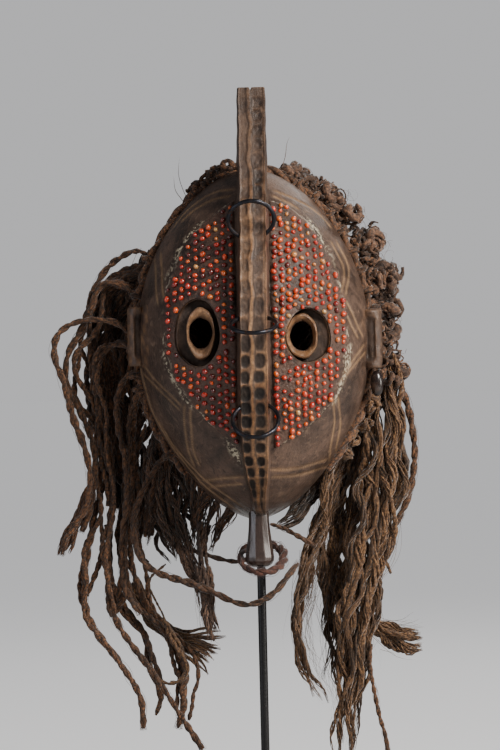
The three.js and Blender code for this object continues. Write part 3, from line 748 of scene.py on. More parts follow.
# Yarns that belong to a hank but run beside it: some bow out from the rim before they fall with it,
# some go on down with the long cords. Each group has its count, its radius and its stations.
side_yarns = {
    "hank_left": [
        (7, 0.0028, [
            (-82, 12, 452, 4), (-100, 24, 452, 6), (-121, 33, 434, 8), (-132, 37, 398, 10),
            (-130, 39, 352, 12), (-124, 41, 302, 12), (-117, 42, 250, 9),
        ]),
        (3, 0.0021, [(*point, 8) for point in cord_routes["cord_left_tail"][1:]]),
        (2, 0.0024, [(x + 7, y + 6, z, 8) for x, y, z in cord_routes["cord_left_arch"]]),
        (3, 0.0021, [(*point, 8) for point in cord_routes["cord_left_long"][4:]]),
        (2, 0.0020, [(*point, 7) for point in cord_routes["cord_left_fall"][2:]]),
        (2, 0.0028, [
            (-107, 30, 268, 3), (-118, 30, 242, 3), (-114, 29, 223, 3), (-113, 29, 205, 3),
            (-115, 28, 186, 3), (-120, 28, 171, 2),
        ]),
        (2, 0.0025, [
            (-126, 34, 252, 3), (-124.5, 34, 211, 3), (-119.5, 33, 189, 3), (-109.5, 32, 168, 4),
            (-95.5, 30, 149.5, 4), (-89, 28, 124, 4), (-86, 28, 103, 3), (-88, 28, 83, 3),
        ]),
        (1, 0.0024, [
            (-100, 34, 256, 1), (-104, 34, 239, 1), (-102, 34, 225, 1), (-94, 33, 213, 1),
            (-85, 31, 205, 1), (-71, 29, 197, 1),
        ]),
    ],
    "hank_flare": [
        (2, 0.0019, [
            (-83, 14, 168, 1), (-76, 12, 153, 2), (-67, 10, 140, 2), (-63, 10, 127, 2),
            (-67.5, 10, 117.5, 2), (-78, 12, 116, 2), (-87, 14, 124, 2), (-92, 16, 133, 1),
        ]),
        (1, 0.0012, [
            (-78, 16, 212, 1), (-91.5, 15, 203, 1), (-94.5, 14, 192.5, 1), (-87.5, 13, 180, 1),
            (-80, 12, 169, 1), (-76.5, 12, 156, 1),
        ]),
    ],
    "hank_small": [
        (5, 0.0016, [
            (-44, 6, 246, 5), (-47, 1, 228, 5), (-48, -2, 212, 5), (-47, -2, 186, 5),
        ]),
        (1, 0.0022, [
            (-77, 14, 230, 1), (-45, 8, 217, 1), (-20, 8, 213.5, 1), (-8, 9, 219, 1),
        ]),
    ],
    "hank_right_main": [
        (1, 0.0015, [
            (96, 30, 235, 1), (101.4, 30, 213.5, 1), (105, 30, 197, 1), (110.5, 30, 184, 1),
        ]),
    ],
}
# The hank behind the hollow gets a matted middle, a dark sheet standing in for shade behind the eye holes.
shade_sheet_hanks = ("hank_behind",)
# Locks that reach a hank from beside it: their count, lowest and highest tone, and stations.
side_locks = {
    "hank_small": (9, 0.8, 1.6, [
        (-87.5, 24, 282, 10), (-78, 20, 262, 12), (-68.4, 14, 241.4, 12), (-55.5, 8, 209, 9),
        (-46, 0, 176, 5),
    ]),
    "hank_left_inner": (24, 0.15, 0.3, [
        (-78, 18, 318, 12), (-79, 22, 290, 21), (-76, 22, 262, 24), (-68, 18, 236, 22), (-62, 14, 214, 18),
    ]),
    "hank_left": (9, 0.8, 1.6, [
        (-138, 20, 278, 1), (-145, 20, 262, 2), (-151, 20, 247, 4), (-157, 20, 232, 5),
        (-162.5, 20, 218, 5),
    ]),
    "hank_right_inner": (8, 0.0, 0.15, [
        (58.5, 22, 290, 4), (48, 23, 272, 6), (35, 22, 255, 6), (23, 20, 244, 5), (12, 18, 238, 3),
    ]),
}
side_lock_strands = 6
side_flatness = 0.6
side_yarn_flatness = 0.7
# Knots where a hank is tied: the middle of each and its reach.
knots = {
    "hank_right_main": [(94, 4, 338, 8), (87, 6, 322, 7)],
    "hank_right_inner": [(77, 10, 312, 8), (70, 10, 300, 6)],
}
yarn_step = 0.0037
lock_step = 0.0062


def yarn_forms(stations, count, radius, flatness, seed):
    """Twisted yarns that run down a bunch with a slow wave."""
    fine = round(line_length(smooth_line(stations, 100)[:, :3]) / yarn_step)
    lines = bunch(
        stations, count, flatness, fine, seed,
        wander=0.26, fill=0.95, starts=0.06, ends=0.4, crimp=(0.07, 0.002),
    )
    return [twisted_cord(line, radius, seed + place) for place, line in enumerate(lines)]


mat_rings = 66
mat_sides = 40


def mat(stations, flatness, seed):
    """The matted middle of a wide flat bunch: one flat tube of lumpy oval section down its line. Behind the
    hollow it is a dark sheet that stands in for the shade seen through the eye holes.
    """
    rng = np.random.default_rng(seed)
    axis = smooth_line(stations, 90)[:mat_rings]
    turn = full_turn(mat_sides)
    narrowing = np.clip((mat_rings - np.arange(mat_rings)) / 8, 0.05, 1)[:, None] ** 0.5
    wide = axis[:, 3:] * narrowing
    thick = np.maximum(0.45 * flatness * axis[:, 3:], 0.002)
    oval = 1 / np.hypot(np.cos(turn) / wide, np.sin(turn) / thick)
    lumps = 1 + 0.06 * np.sin(7 * turn + 40 * axis[:, 2:3]) + 0.05 * np.sin(13 * turn - 90 * axis[:, 2:3])
    return strands(axis[None, :, :3], (oval * lumps)[None], mat_sides, rng.uniform(0.2, 0.5, 1))


for number, (name, stations) in enumerate(hank_stations.items()):
    flatness, yarns, yarn_radius, lock_count, reach, strand_count = hank_makes[name][:6]
    thickness, hair_count, lay, wave, height, ends, finish = hank_makes[name][6:]
    crimp = (wave, height)
    stations = in_metres(stations)
    seed = 500 + 20 * number
    rng = np.random.default_rng(seed)
    steps = max(20, round(line_length(smooth_line(stations, 100)[:, :3]) / lock_step))
    forms = []
    if yarns:
        forms += yarn_forms(stations, yarns, yarn_radius, flatness, seed + 1)
    for group, (count, radius, route) in enumerate(side_yarns.get(name, ())):
        forms += yarn_forms(in_metres(route), count, radius, side_yarn_flatness, seed + 11 + group)
    if name in side_locks:
        beside_count, low_tone, high_tone, route = side_locks[name]
        route = in_metres(route)
        short = round(line_length(smooth_line(route, 100)[:, :3]) / lock_step) + 6
        middles = bunch(
            route, beside_count, side_flatness, short, seed + 14,
            wander=0.2, fill=0.9, starts=0.15, ends=0.2, crimp=crimp,
        )
        beside = wound(middles, side_lock_strands, reach, lay, seed + 15)
        tones = rng.uniform(low_tone, high_tone, beside_count * side_lock_strands)
        forms.append(locks(beside, thickness, seed + 16, tones))
    for place, (*middle, knot_reach) in enumerate(in_metres(knots.get(name, ()))):
        short_line = [np.add(middle, (0, 0, rise)) for rise in (0.003, 0, -0.003)]
        coil_sizes = (0.4 * knot_reach, 0.8 * knot_reach)
        turns = curls(short_line, 0.6 * knot_reach, 9, seed + 20 + place, coil_sizes, (0.001, 0.003))
        forms.append(spun(turns, (0.0012, 0.0024), seed + 30 + place, sides=6))
    if name in shade_sheet_hanks:
        forms.append(mat(stations, flatness, seed + 4))
    splay = 0.7 if finish is light_fibre else 0.2
    middles = bunch(
        stations, lock_count, flatness, steps, seed + 6,
        wander=0.2, fill=0.9, starts=0.1, ends=ends, crimp=crimp, splay=splay,
    )
    lock_lines = wound(middles, strand_count, reach, lay, seed + 7)
    tones = np.repeat(rng.uniform(0, 0.8, lock_count), strand_count)
    tones = tones + rng.uniform(0, 0.25, lock_count * strand_count)
    forms.append(locks(lock_lines, thickness, seed + 8, tones))
    stray = bunch(
        stations, hair_count, flatness, round(0.7 * steps), seed + 9,
        wander=0.3, fill=1.15, starts=0.7, ends=0.3, crimp=crimp, splay=splay,
    )
    forms.append(hairs(stray, seed + 10))
    stand_for(build(name, forms, finish), "loose_fibre", name)

# Ruff: short thick curls and knots of fibre tied close together along the upper right of the rim, and
# fraying out below the ear.
ruff_line = in_metres([
    (24, 18, 527), (39, 17, 522), (53, 18, 512), (67, 17, 502), (79, 18, 490), (89, 17, 477), (97, 18, 462),
    (103, 17, 446), (104, 18, 429), (104, 17, 412), (104, 18, 395), (106.5, 18.5, 377), (110.5, 19.5, 357),
])

ruff_wool = fibre_material("ruff_wool", colour(16, 9, 6), colour(68, 48, 37), colour(146, 106, 78), 560.0)
thick_curls = curls(ruff_line, 0.0092, 64, 41, (0.0030, 0.0066), (0.004, 0.009), clumps=8, steps=32)
thin_curls = curls(ruff_line, 0.0108, 150, 44, (0.0022, 0.0056), (0.003, 0.010), steps=22)
wisps = curls(ruff_line, 0.0130, 170, 47, (0.002, 0.006), (0.004, 0.012), steps=16)
ruff_forms = [
    spun(thick_curls, (0.0024, 0.0044), 42),
    spun(thin_curls, (0.0007, 0.0017), 45, sides=4),
    hairs(wisps, 48, thickness=0.00014),
]
stand_for(build("ruff", ruff_forms, ruff_wool), "loose_fibre", "ruff")

# Mask: one block of wood. The domed face, hollow behind, carries a tall notched crest, two eye
# bosses in their moats, a half-round lug at each ear and a facetted knob below the chin; all are cut
# from the block. All sizes here and in the next sections are millimetres, turned to metres when built.
face_x = -2.0
face_z = 392.0
half_width = 94.0
brow_height = 140.0
chin_depth = 146.0
brow_pinch = 16.0
chin_pinch = 28.0
face_depth = 84.0
rim_y = -5.0
wall = 9.0


def outline_radius(angle):
    """Distance from the middle of the face to its outline: an ellipse above and a longer one below,
    pinched towards the pointed crown and chin by the fourth power of the sine."""
    across, up = np.cos(angle), np.sin(angle)
    height = np.where(up > 0, brow_height, chin_depth)
    pinch = np.where(up > 0, brow_pinch, chin_pinch)
    return 1 / np.hypot(across / half_width, up / height) - pinch * up**4 * np.abs(across)


def swell(reach):
    """How high the dome stands, from 1 in its middle, nearly level there, to 0 at the rim."""
    return np.clip(1 - np.clip(reach, 0, 1) ** 2.4, 0, None) ** 0.62


def unevenness(x, z):
    """The slight flats and hollows that the adze and the knife leave: a few crossed sines."""
    return (
        0.42 * np.sin(x / 9.5 + 1.3 * np.sin(z / 21)) * np.sin(z / 13 + 0.9 * np.sin(x / 17))
        + 0.24 * np.sin(x / 4.7 + z / 7.9) * np.sin(z / 5.9 - x / 11)
        + 0.6 * np.sin(x / 31 + 2.1) * np.sin(z / 37 + 0.4)
    )


def reach_at(x, z):
    """How far out a place is on the face, from 0 in its middle to 1 on its outline."""
    return np.hypot(x - face_x, z - face_z) / outline_radius(np.arctan2(z - face_z, x - face_x))


def face_front(x, z):
    """Depth of the carved face in front of a point of its outline plane, before lines and moats."""
    reach = reach_at(x, z)
    return rim_y - face_depth * swell(reach) - unevenness(x, z) * np.clip(1 - reach**8, 0, 1)


def read_off(stations, place, column=1):
    """A value read off given stations, each a place followed by its values, straight between."""
    stations = np.asarray(stations, float)
    return np.interp(place, stations[:, 0], stations[:, column])


def skin(rings):
    """A closed surface through rings of points (ring, point, xyz), shut by a fan at each end."""
    points = np.concatenate([rings.reshape(-1, 3), rings[:1].mean(axis=1), rings[-1:].mean(axis=1)])
    quads, triangles = ring_faces(*rings.shape[:2])
    return {"points": points, "quads": quads, "triangles": triangles}


def ringed(x, y, z, close=skin):
    """A closed form from the grids of its rings' three coordinates, with its faces turned out."""
    return outward(close(np.stack(np.broadcast_arrays(x, y, z), axis=-1)))


def hoop(rings):
    """A closed surface through rings of points whose last ring meets the first again."""
    quads, _ = ring_faces(*rings.shape[:2], closed=True)
    return {"points": rings.reshape(-1, 3), "quads": quads, "triangles": np.zeros((0, 3), int)}


def outward(form):
    """The same form with its faces turned out, judged by the sign of the volume they enclose."""
    quads, triangles = form["quads"], form["triangles"]
    corners = np.concatenate([quads[:, [0, 1, 2]], quads[:, [0, 2, 3]], triangles])
    first, second, third = (form["points"][corners[:, corner]] for corner in range(3))
    if np.einsum("ij,ij->", first, np.cross(second, third)) < 0:
        form = {**form, "quads": quads[:, ::-1], "triangles": triangles[:, ::-1]}
    return form


# Carved lines: pairs of shallow grooves that a knife has drawn in the wood round both cheeks and over
# the brow, given as corners in the plane of the face.
carved_lines = [
    ((15.4, 511.6), (29.7, 506.5), (43.1, 499.4), (54.1, 491.5), (63.5, 480.5)),
    ((15.3, 506.8), (27.9, 501.7), (37.4, 495.9)),
    ((66.5, 470.4), (73.8, 455.0), (75.4, 441.4), (72.2, 425.5)),
    ((61.7, 470.5), (69.9, 453.1), (71.4, 439.5), (68.7, 427.9)),
    ((72.1, 422.3), (79.4, 406.9), (86.0, 392.3)),
    ((69.1, 418.3), (75.4, 404.6), (82.0, 390.8)),
    ((86.8, 386.7), (78.7, 375.7), (69.6, 363.9)),
    ((88.4, 381.1), (77.8, 369.3), (66.7, 358.4), (56.5, 349.0)),
    ((60.6, 344.9), (61.2, 329.2), (59.5, 313.7), (56.5, 292.5)),
    ((64.4, 346.6), (65.9, 329.1), (64.4, 311.7), (60.2, 290.5)),
    ((7.9, 287.7), (24.5, 288.3), (42.0, 290.9), (55.6, 294.6)),
    ((9.3, 281.6), (28.2, 283.0), (43.8, 285.6), (56.4, 289.0)),
    ((75.7, 322.9), (69.5, 307.9), (61.4, 292.4), (47.4, 275.2), (31.5, 260.0)),
    (
        (-94.5, 377.3), (-89.5, 352.3), (-81.3, 328.6), (-66.5, 302.9), (-47.5, 279.3), (-24.8, 259.3),
        (-10.6, 250.5),
    ),
    (
        (-92.3, 359.8), (-85.0, 338.3), (-73.9, 316.7), (-59.8, 297.2), (-43.7, 280.8), (-26.5, 267.1),
        (-11.3, 256.1),
    ),
    ((-91.0, 374.3), (-77.8, 357.6), (-59.8, 339.6)),
    ((-92.3, 368.4), (-76.3, 351.2), (-61.5, 336.5)),
    ((-57.7, 341.6), (-59.0, 326.1), (-56.5, 306.7), (-52.1, 290.6)),
    ((-53.0, 339.5), (-53.9, 324.0), (-51.8, 304.6), (-48.1, 292.1)),
    ((-46.6, 279.8), (-28.1, 281.6), (-11.4, 283.1)),
    ((-41.8, 274.1), (-26.3, 275.9), (-12.7, 277.5)),
    ((-75.0, 465.6), (-74.4, 444.8), (-72.9, 425.6)),
    ((-80.2, 460.9), (-79.6, 441.7), (-77.9, 420.9)),
    ((-13.2, 513.2), (-28.7, 511.6), (-42.4, 506.1), (-54.3, 496.7), (-65.3, 483.3)),
    ((-17.5, 507.5), (-32.8, 504.7), (-46.6, 498.2), (-58.8, 487.9)),
]
line_half_width = 1.0
line_depth = 0.75


def carved_share(x, z):
    """How deep in a carved line a point of the outline plane is, from 0 beside it to 1 in its bottom.
    The lines are drawn smooth, waver a little, and run out shallow at both ends."""
    deepest = np.zeros(np.shape(x))
    for corners in carved_lines:
        flat = np.array([(along, 0.0, up) for along, up in corners])
        line = smooth_line(flat, 5 * len(corners))[:, [0, 2]]
        line = line + 0.35 * np.stack([np.sin(line[:, 1] / 5), np.sin(line[:, 0] / 6)], axis=1)
        fade = np.clip(6 * np.sin(np.pi * np.linspace(0, 1, len(line))), 0.15, 1)
        for (x0, z0), (x1, z1), fade0, fade1 in zip(line[:-1], line[1:], fade[:-1], fade[1:]):
            length = np.hypot(x1 - x0, z1 - z0) ** 2
            part = np.clip(((x - x0) * (x1 - x0) + (z - z0) * (z1 - z0)) / length, 0, 1)
            away = np.hypot(x - x0 - part * (x1 - x0), z - z0 - part * (z1 - z0))
            share = np.clip(1 - away / line_half_width, 0, 1) * (fade0 + part * (fade1 - fade0))
            deepest = np.maximum(deepest, share)
    return deepest


# Eyes: each a bored boss with lid-like lips, standing in an oval moat, all cut from the mask's wood.
# The moat's middle and half sizes, its floor's depth and how pale the lips are worn differ.
eyes = [
    {
        "x": -44, "z": 398, "hole": (9.2, 12), "boss": (11.4, 21),
        "moat_x": -46.4, "moat": (17.4, 26.5), "floor": -69, "worn": 0.2,
    },
    {
        "x": 36, "z": 394, "hole": (9, 11.6), "boss": (13, 18),
        "moat_x": 41, "moat": (17.4, 21.0), "floor": -69, "worn": 0.42,
    },
]
socket_wall = 8.0
# Once round the boss's bar: share of the way from the hole's edge to the boss's edge, and depth there.
boss_profile = [
    (1.0, -56), (1.03, -62), (1.02, -70), (1.0, -78.5), (0.95, -81.6), (0.84, -83.2), (0.66, -83.4),
    (0.45, -82.5), (0.26, -81.4), (0.1, -80), (0.0, -78), (0.0, -72), (0.04, -64), (0.04, -56),
]
boss_top = -75
boss_steps = 96
moat_front = -120.0
plug_sides = 72
through_sides = 48


def oval_reach(x, z, middle_x, middle_z, oval):
    """How far out a place is in an oval, from 0 in its middle to 1 on its edge."""
    return np.hypot((x - middle_x) / oval[0], (z - middle_z) / oval[1])


def moat_reach(eye, x, z, wider):
    """How far out a place is in the oval of an eye's moat, made wider all round."""
    return oval_reach(x, z, eye["moat_x"], eye["z"], np.add(eye["moat"], wider))


def boss(eye):
    """The boss as a bar bent to an oval ring: each profile point's share blends the two ovals, and
    slow sines make it as uneven as a knife leaves it."""
    angle = full_turn(boss_steps)[:, None]
    share, depth = np.array(boss_profile, float).T
    radius_x = eye["hole"][0] + share * (eye["boss"][0] - eye["hole"][0])
    radius_z = eye["hole"][1] + share * (eye["boss"][1] - eye["hole"][1])
    wobble = 1 + 0.018 * np.sin(3 * angle + eye["x"]) + 0.012 * np.sin(7 * angle + eye["z"])
    x = eye["x"] + radius_x * np.cos(angle) * wobble
    z = eye["z"] + radius_z * np.sin(angle) * wobble
    y = depth + 0.35 * np.sin(4 * angle + 1.7 * eye["x"]) * (depth < boss_top)
    y = y + 0.25 * np.sin(9 * angle + 3 * share) * (depth < boss_top)
    return ringed(x, y, z, hoop)


def oval_ring(middle_x, middle_z, radius_x, radius_z, depth, angle):
    """Points round an oval that lies square to the depth."""
    return np.stack([
        middle_x + radius_x * np.cos(angle),
        np.full(len(angle), depth),
        middle_z + radius_z * np.sin(angle),
    ], axis=1)


def moat_plug(eye, wider, back, slope):
    """An oval plug the size of an eye's moat, or wider, that narrows a little towards its back and is
    rounded there."""
    angle = full_turn(plug_sides)
    stations = [(back, -2.2), (back - 0.5, -0.9), (back - 1.6, -0.2), (back - 4, 0.0), (moat_front, slope)]
    wobble = 0.35 * np.sin(3 * angle + eye["moat_x"]) + 0.22 * np.sin(5 * angle + eye["z"])
    oval = np.add(eye["moat"], wider)
    return outward(skin(np.array([
        oval_ring(eye["moat_x"], eye["z"], oval[0] + grow + wobble, oval[1] + grow + wobble, depth, angle)
        for depth, grow in stations
    ])))


def eye_plug(eye):
    """A straight oval plug through the wall, halfway between the edges of the hole and the boss."""
    angle = full_turn(through_sides)
    between = np.add(eye["hole"], np.subtract(eye["boss"], eye["hole"]) * 0.5)
    return outward(skin(np.array([
        oval_ring(eye["x"], eye["z"], *between, depth, angle) for depth in (-20.0, moat_front)
    ])))


# Shell: the domed face and its hollow. Rows of points run from the middle of the back over the rim
# to the middle of the front, closer together in the outer third where the carved lines are.
shell_sides = 470
mean_radius = 110.0
front_step = 2.6
outer_third = 0.66
outer_step = 1.25


def front_reaches():
    """Shares of the way to the rim at steps along the dome, finer in its outer third."""
    fine = np.linspace(0.03, 1, 6000)
    run = np.hypot(np.diff(fine) * mean_radius, np.diff(face_depth * swell(fine)))
    step = np.where(fine[1:] > outer_third, outer_step, front_step)
    rows = np.concatenate([[0], np.cumsum(run / step)])
    return np.interp(np.arange(0, rows[-1]), rows, fine)


def shell():
    """The face with its carved lines, the flat rim, and the hollow behind with a wall round each moat."""
    angle = full_turn(shell_sides)[None]
    radius = outline_radius(angle)

    outer = front_reaches()[::-1, None]
    x = face_x + outer * radius * np.cos(angle)
    z = face_z + outer * radius * np.sin(angle)
    front = np.stack([x, face_front(x, z), z], axis=-1)
    around = np.roll(front, -1, axis=1) - np.roll(front, 1, axis=1)
    inwards = np.gradient(front, axis=0)
    normal = np.cross(inwards, around)
    normal /= np.linalg.norm(normal, axis=-1, keepdims=True)
    normal *= np.where(normal[..., 1:2] > 0, -1, 1)
    front = front - normal * (line_depth * carved_share(x, z))[..., None]

    rim_inset = np.array([8.2, 5.5, 2.8, 0.9])[:, None]
    rim_back = np.array([-4.3, -3.6, -3.7, -4.2])[:, None]
    rim_radius = radius - rim_inset
    rim = np.stack([
        face_x + rim_radius * np.cos(angle),
        rim_back + 0.3 * np.sin(9 * angle) * np.sin(4 * angle),
        face_z + rim_radius * np.sin(angle),
    ], axis=-1)

    inner = np.array([
        0.06, 0.2, 0.32, 0.42, 0.5, 0.57, 0.64, 0.7, 0.75, 0.8, 0.85, 0.89, 0.92, 0.95, 0.97, 0.985,
        0.995, 1.0,
    ])[:, None]
    x = face_x + inner * (radius - wall) * np.cos(angle)
    z = face_z + inner * (radius - wall) * np.sin(angle)
    y = rim_y - (face_depth - wall) * swell(inner) + 0.7 * unevenness(x * 0.8 + 40, z * 0.7)
    for eye in eyes:
        place = moat_reach(eye, x, z, 7)
        pushed = np.maximum(y, eye["floor"] + socket_wall)
        y = y + (pushed - y) * np.clip(4 * (1 - place), 0, 1)
    back = np.stack([x, y, z], axis=-1)
    return outward(skin(np.concatenate([back, rim, front])))


# Crest: a blade down the middle, with two columns of scooped pits between rungs beside a rib.
# Stations: height, depth of the front, of the back, half the back's width, share of the front's
# width, and how far the blade leans to the right.
crest_stations = [
    (251, -30, -22, 6, 0.4, 2.6), (258, -42, -30, 7.2, 0.46, 2.1), (268, -57, -40, 9, 0.55, 1.6),
    (282, -75, -55, 10.4, 0.79, 0.7), (300, -89, -66, 12, 0.98, -0.4), (325, -102, -75, 13, 1.07, -0.9),
    (350, -109, -82, 14, 1.08, -0.7), (392, -112, -83, 14, 1.06, -0.2), (425, -110, -82, 14, 1.05, 0.3),
    (455, -103, -74, 14, 1.04, 0.8), (480, -94, -62, 14, 1.03, 1.3), (500, -86, -46, 13.4, 1.04, 1.4),
    (515, -79, -28, 13, 1.04, 1.6), (524, -75.6, -14, 12.7, 1.04, 1.7), (534, -71.7, -22, 12.4, 1.04, 1.7),
    (545, -68, -34, 12.2, 1.05, 1.8), (558, -64.5, -40, 11.9, 1.05, 1.9), (575, -60.4, -43, 11.6, 1.05, 2.1),
    (594, -58, -44, 11.4, 1.06, 2.2),
]
crest_half = 10.0
crest_corner = 1.1
rib_half = 1.35
rung_drop = 0.8
pit_depth = 2.1
pit_share = 0.44
pit_first = 260.0
pit_last = 588.0
# The pits' pitch at a few heights.
pit_pitches = [(260, 8.6), (300, 9.8), (345, 12.2), (400, 15.0), (470, 15.5), (520, 12.5), (590, 11.2)]
# The left column is worn nearly flat above one height, the right one cut deeper above another.
worn_above = 532.0
fresh_above = 505.0
crest_step = 1.0


def pit_places():
    """Heights of the pits and their pitches: widest at the eyes' height, closer at both ends."""
    places = []
    height = pit_first
    while height < pit_last:
        pitch = float(read_off(pit_pitches, height, 1))
        places.append((height, pitch))
        height += pitch
    return places


pits = pit_places()


def rib_middle(z):
    """The rib's middle: it wavers from side to side and keeps to the left, least so at the chin."""
    return 0.75 * np.sin(z / 7.3) + 0.45 * np.sin(z / 3.1 + 2) - 1.5 * np.clip((z - 262) / 40, 0, 1)


def crest_relief(across, z, half):
    """Two values: how far the crest's front lies behind its highest line, nothing on the rib and a
    little on rungs and edges; and each pit's share of the full depth, a soft scoop with its own size,
    place and floor, shallower higher up."""
    from_rib = np.abs(across - rib_middle(z))
    rung = rung_drop * np.clip((from_rib - rib_half) / 1.2, 0, 1)
    depth = rung * np.clip((half - np.abs(across)) / 1.5, 0.25, 1)
    scoops = np.zeros(np.shape(across))
    rng = np.random.default_rng(5)
    for height, pitch in pits:
        for side in (-1, 1):
            jitter = rng.uniform(-1, 1, 4)
            worn = 0.22 if side < 0 and height > worn_above else rng.uniform(0.6, 1.0)
            worn = 1.5 * worn if side > 0 and height > fresh_above else worn
            inner = rib_half + 0.2 + side * rib_middle(height)
            outer = half + (0.2 if side < 0 else -2.4)
            middle = side * (inner + outer) / 2 + 0.25 * jitter[0]
            reach_x = np.maximum((outer - inner) / 2, 0.8) * (1 + 0.12 * jitter[1])
            reach_z = pitch * pit_share * (1 + 0.16 * jitter[2])
            up = np.abs(z - height - 0.8 * jitter[3]) / reach_z
            place = (np.abs(across - middle) / reach_x) ** 2.7 + up**2.7
            scoop = np.clip((1.3 - place) * 0.85, 0, 1)
            scoop = scoop * (0.6 + 0.4 * np.clip((450 - z) / 70, 0, 1))
            scoop = scoop * (0.88 + 0.12 * np.sin(across * 1.4 + height) * np.sin(z * 0.9))
            scoops = np.maximum(scoops, worn * scoop * np.minimum(1, half / 9))
    return depth, scoops


def crest_rows():
    """Heights at even steps along the crest's curved front."""
    fine = np.linspace(251, 594, 4000)
    run = np.hypot(np.diff(fine), np.diff(read_off(crest_stations, fine, 1)))
    run = np.concatenate([[0], np.cumsum(run)])
    return np.interp(np.arange(0, run[-1], crest_step), run, fine)


def crest():
    """Rings of points round the blade, each at one height: the front from left to right with its
    rounded corners, the right flank, the back and the left flank."""
    z = crest_rows()[:, None]
    half = crest_half * read_off(crest_stations, z, 4)
    back_half = read_off(crest_stations, z, 3)
    front = read_off(crest_stations, z, 1)
    back = read_off(crest_stations, z, 2)
    middle = face_x + read_off(crest_stations, z, 5)
    share = np.concatenate([[-1, -0.985], np.linspace(-0.955, 0.955, 38), [0.985, 1]])[None]
    corner = crest_corner * np.clip((np.abs(share) - 0.93) / 0.07, 0, 1) ** 2
    across = share * half
    drop, scoops = crest_relief(across, z, half)
    front_y = front + drop + pit_depth * scoops + corner
    flank = np.linspace(0, 1, 8)[None, 1:]
    right_x = half + (back_half - half) * flank
    flank_y = front + crest_corner + (back - front - crest_corner) * flank
    back_x = np.linspace(1, -1, 5)[None, 1:-1] * back_half
    x = np.concatenate([across, right_x, back_x, -right_x[:, ::-1]], axis=1)
    y = np.concatenate([front_y, flank_y, back + 0 * back_x, flank_y[:, ::-1]], axis=1)
    worn = 0.3 * np.sin(z / 8.3) * np.sin(z / 3.7 + 1)
    x = middle + x + worn * np.sign(x)
    return ringed(x, y, z)


def notch():
    """The V cut in the crest's upper end, as a bar of kite-shaped section."""
    corners = np.array([(-4.6, 600), (0, 591.4), (4.6, 600), (0, 605)])
    return outward(skin(np.array([
        np.stack([face_x + 1.6 + corners[:, 0], np.full(4, depth), corners[:, 1]], axis=1)
        for depth in (-70.0, -30.0)
    ])))


# Knob: the carver's knob below the chin, of the mask's own wood and polished by hands. Ten long facets
# flare to a rounded foot. Stations: height and share of the girth.
knob_stations = [
    (209, 0.55), (209.6, 0.74), (211, 0.94), (214, 1.09), (217, 1.1), (223, 1.03), (231, 0.92), (239, 0.83),
    (246, 0.78), (262, 0.76),
]
knob_x = -1.0
knob_y = -22.0
knob_radius = 10.6
facets = 10


def knob():
    """Rings whose radius is that of a polygon, rounded a little towards a circle at its corners."""
    z = np.concatenate([np.linspace(209, 218, 14), np.linspace(219.5, 262, 24)])[:, None]
    angle = full_turn(100)[None]
    around = (angle + 0.04 * np.sin(z / 9)) % (2 * np.pi / facets) - np.pi / facets
    polygon = np.cos(np.pi / facets) / np.cos(around)
    radius = knob_radius * read_off(knob_stations, z) * np.minimum(polygon, 0.993)
    radius = radius * (1 + 0.012 * np.sin(3 * angle + z / 7))
    x = knob_x + radius * np.cos(angle)
    y = knob_y + 0.9 * radius * np.sin(angle)
    return ringed(x, y, z)


# Lugs: a half-round of the same wood at each ear, with a slot scooped in its front. The middle of
# each is given as x and height.
lug_radius = 8.0
lug_height = 48.0
lugs = [(face_x - 94, 397), (face_x + 96, 391)]


def lug(middle_x, middle_z):
    """An upright half-round with a long slot scooped in its front, inside a raised frame."""
    rise = np.concatenate([[0, 0.012, 0.03], np.linspace(0.06, 0.94, 34), [0.97, 0.988, 1]])[:, None]
    z = middle_z + (rise - 0.5) * lug_height
    angle = full_turn(56)[None]
    ends = np.clip(np.minimum(rise, 1 - rise) / 0.03, 0, 1) ** 0.5
    radius = lug_radius * (0.84 + 0.16 * ends)
    facing = np.pi * 1.5 + (0.25 if middle_x < 0 else -0.25)
    turned = np.abs(angle - facing) / 0.55
    slot = np.clip(1.3 - turned**4 - (np.abs(rise - 0.5) / 0.38) ** 6, 0, 1)
    radius = radius - 1.7 * slot + 0.4 * np.sin(2 * angle + z / 6) * np.sin(z / 3.4)
    x = middle_x + radius * np.cos(angle)
    y = rim_y - lug_radius - 1 + radius * np.sin(angle)
    return ringed(x, y, z)


# Holes for the iron rings, bored sideways through the crest. The rings' own size is given here, with
# the height of each one's hole and how far the ring is swung up from level, in degrees.
ring_radius = 17.9
ring_wire = 1.7
ring_hole_wire = 2.3
ring_hole_depth = 8.0
rings = {"ring_top": (472, 53), "ring_middle": (410, -22), "ring_bottom": (342, -48)}


def wire_ring(height, lift, wire, steps, sides, uneven=0.0):
    """A bent bar round its middle, in the plane that holds the X axis and points up by the lift."""
    turn = full_turn(steps)[:, None]
    around = full_turn(sides)[None]
    lift = np.radians(lift)
    bar = wire * (1 + uneven * np.sin(5 * turn + height) + 0.6 * uneven * np.sin(11 * turn))
    radius = ring_radius * (1 + 0.25 * uneven * np.sin(2 * turn + height)) + bar * np.cos(around)
    level = radius * np.sin(turn)
    thick = bar * np.sin(around)
    middle_y = read_off(crest_stations, height, 1) + ring_hole_depth - np.cos(lift) * ring_radius
    middle_z = height + np.sin(lift) * ring_radius
    x = face_x + radius * np.cos(turn)
    y = middle_y - np.cos(lift) * level + np.sin(lift) * thick
    z = middle_z + np.sin(lift) * level + np.cos(lift) * thick
    return ringed(x, y, z, hoop)


def raw_object(name, form):
    """A bare object in metres for cutting and joining, not a piece yet."""
    mesh = bpy.data.meshes.new(name)
    faces = form["quads"].tolist() + form["triangles"].tolist()
    mesh.from_pydata(in_metres(form["points"]).tolist(), [], faces)
    piece = bpy.data.objects.new(name, mesh)
    scene.collection.objects.link(piece)
    return piece


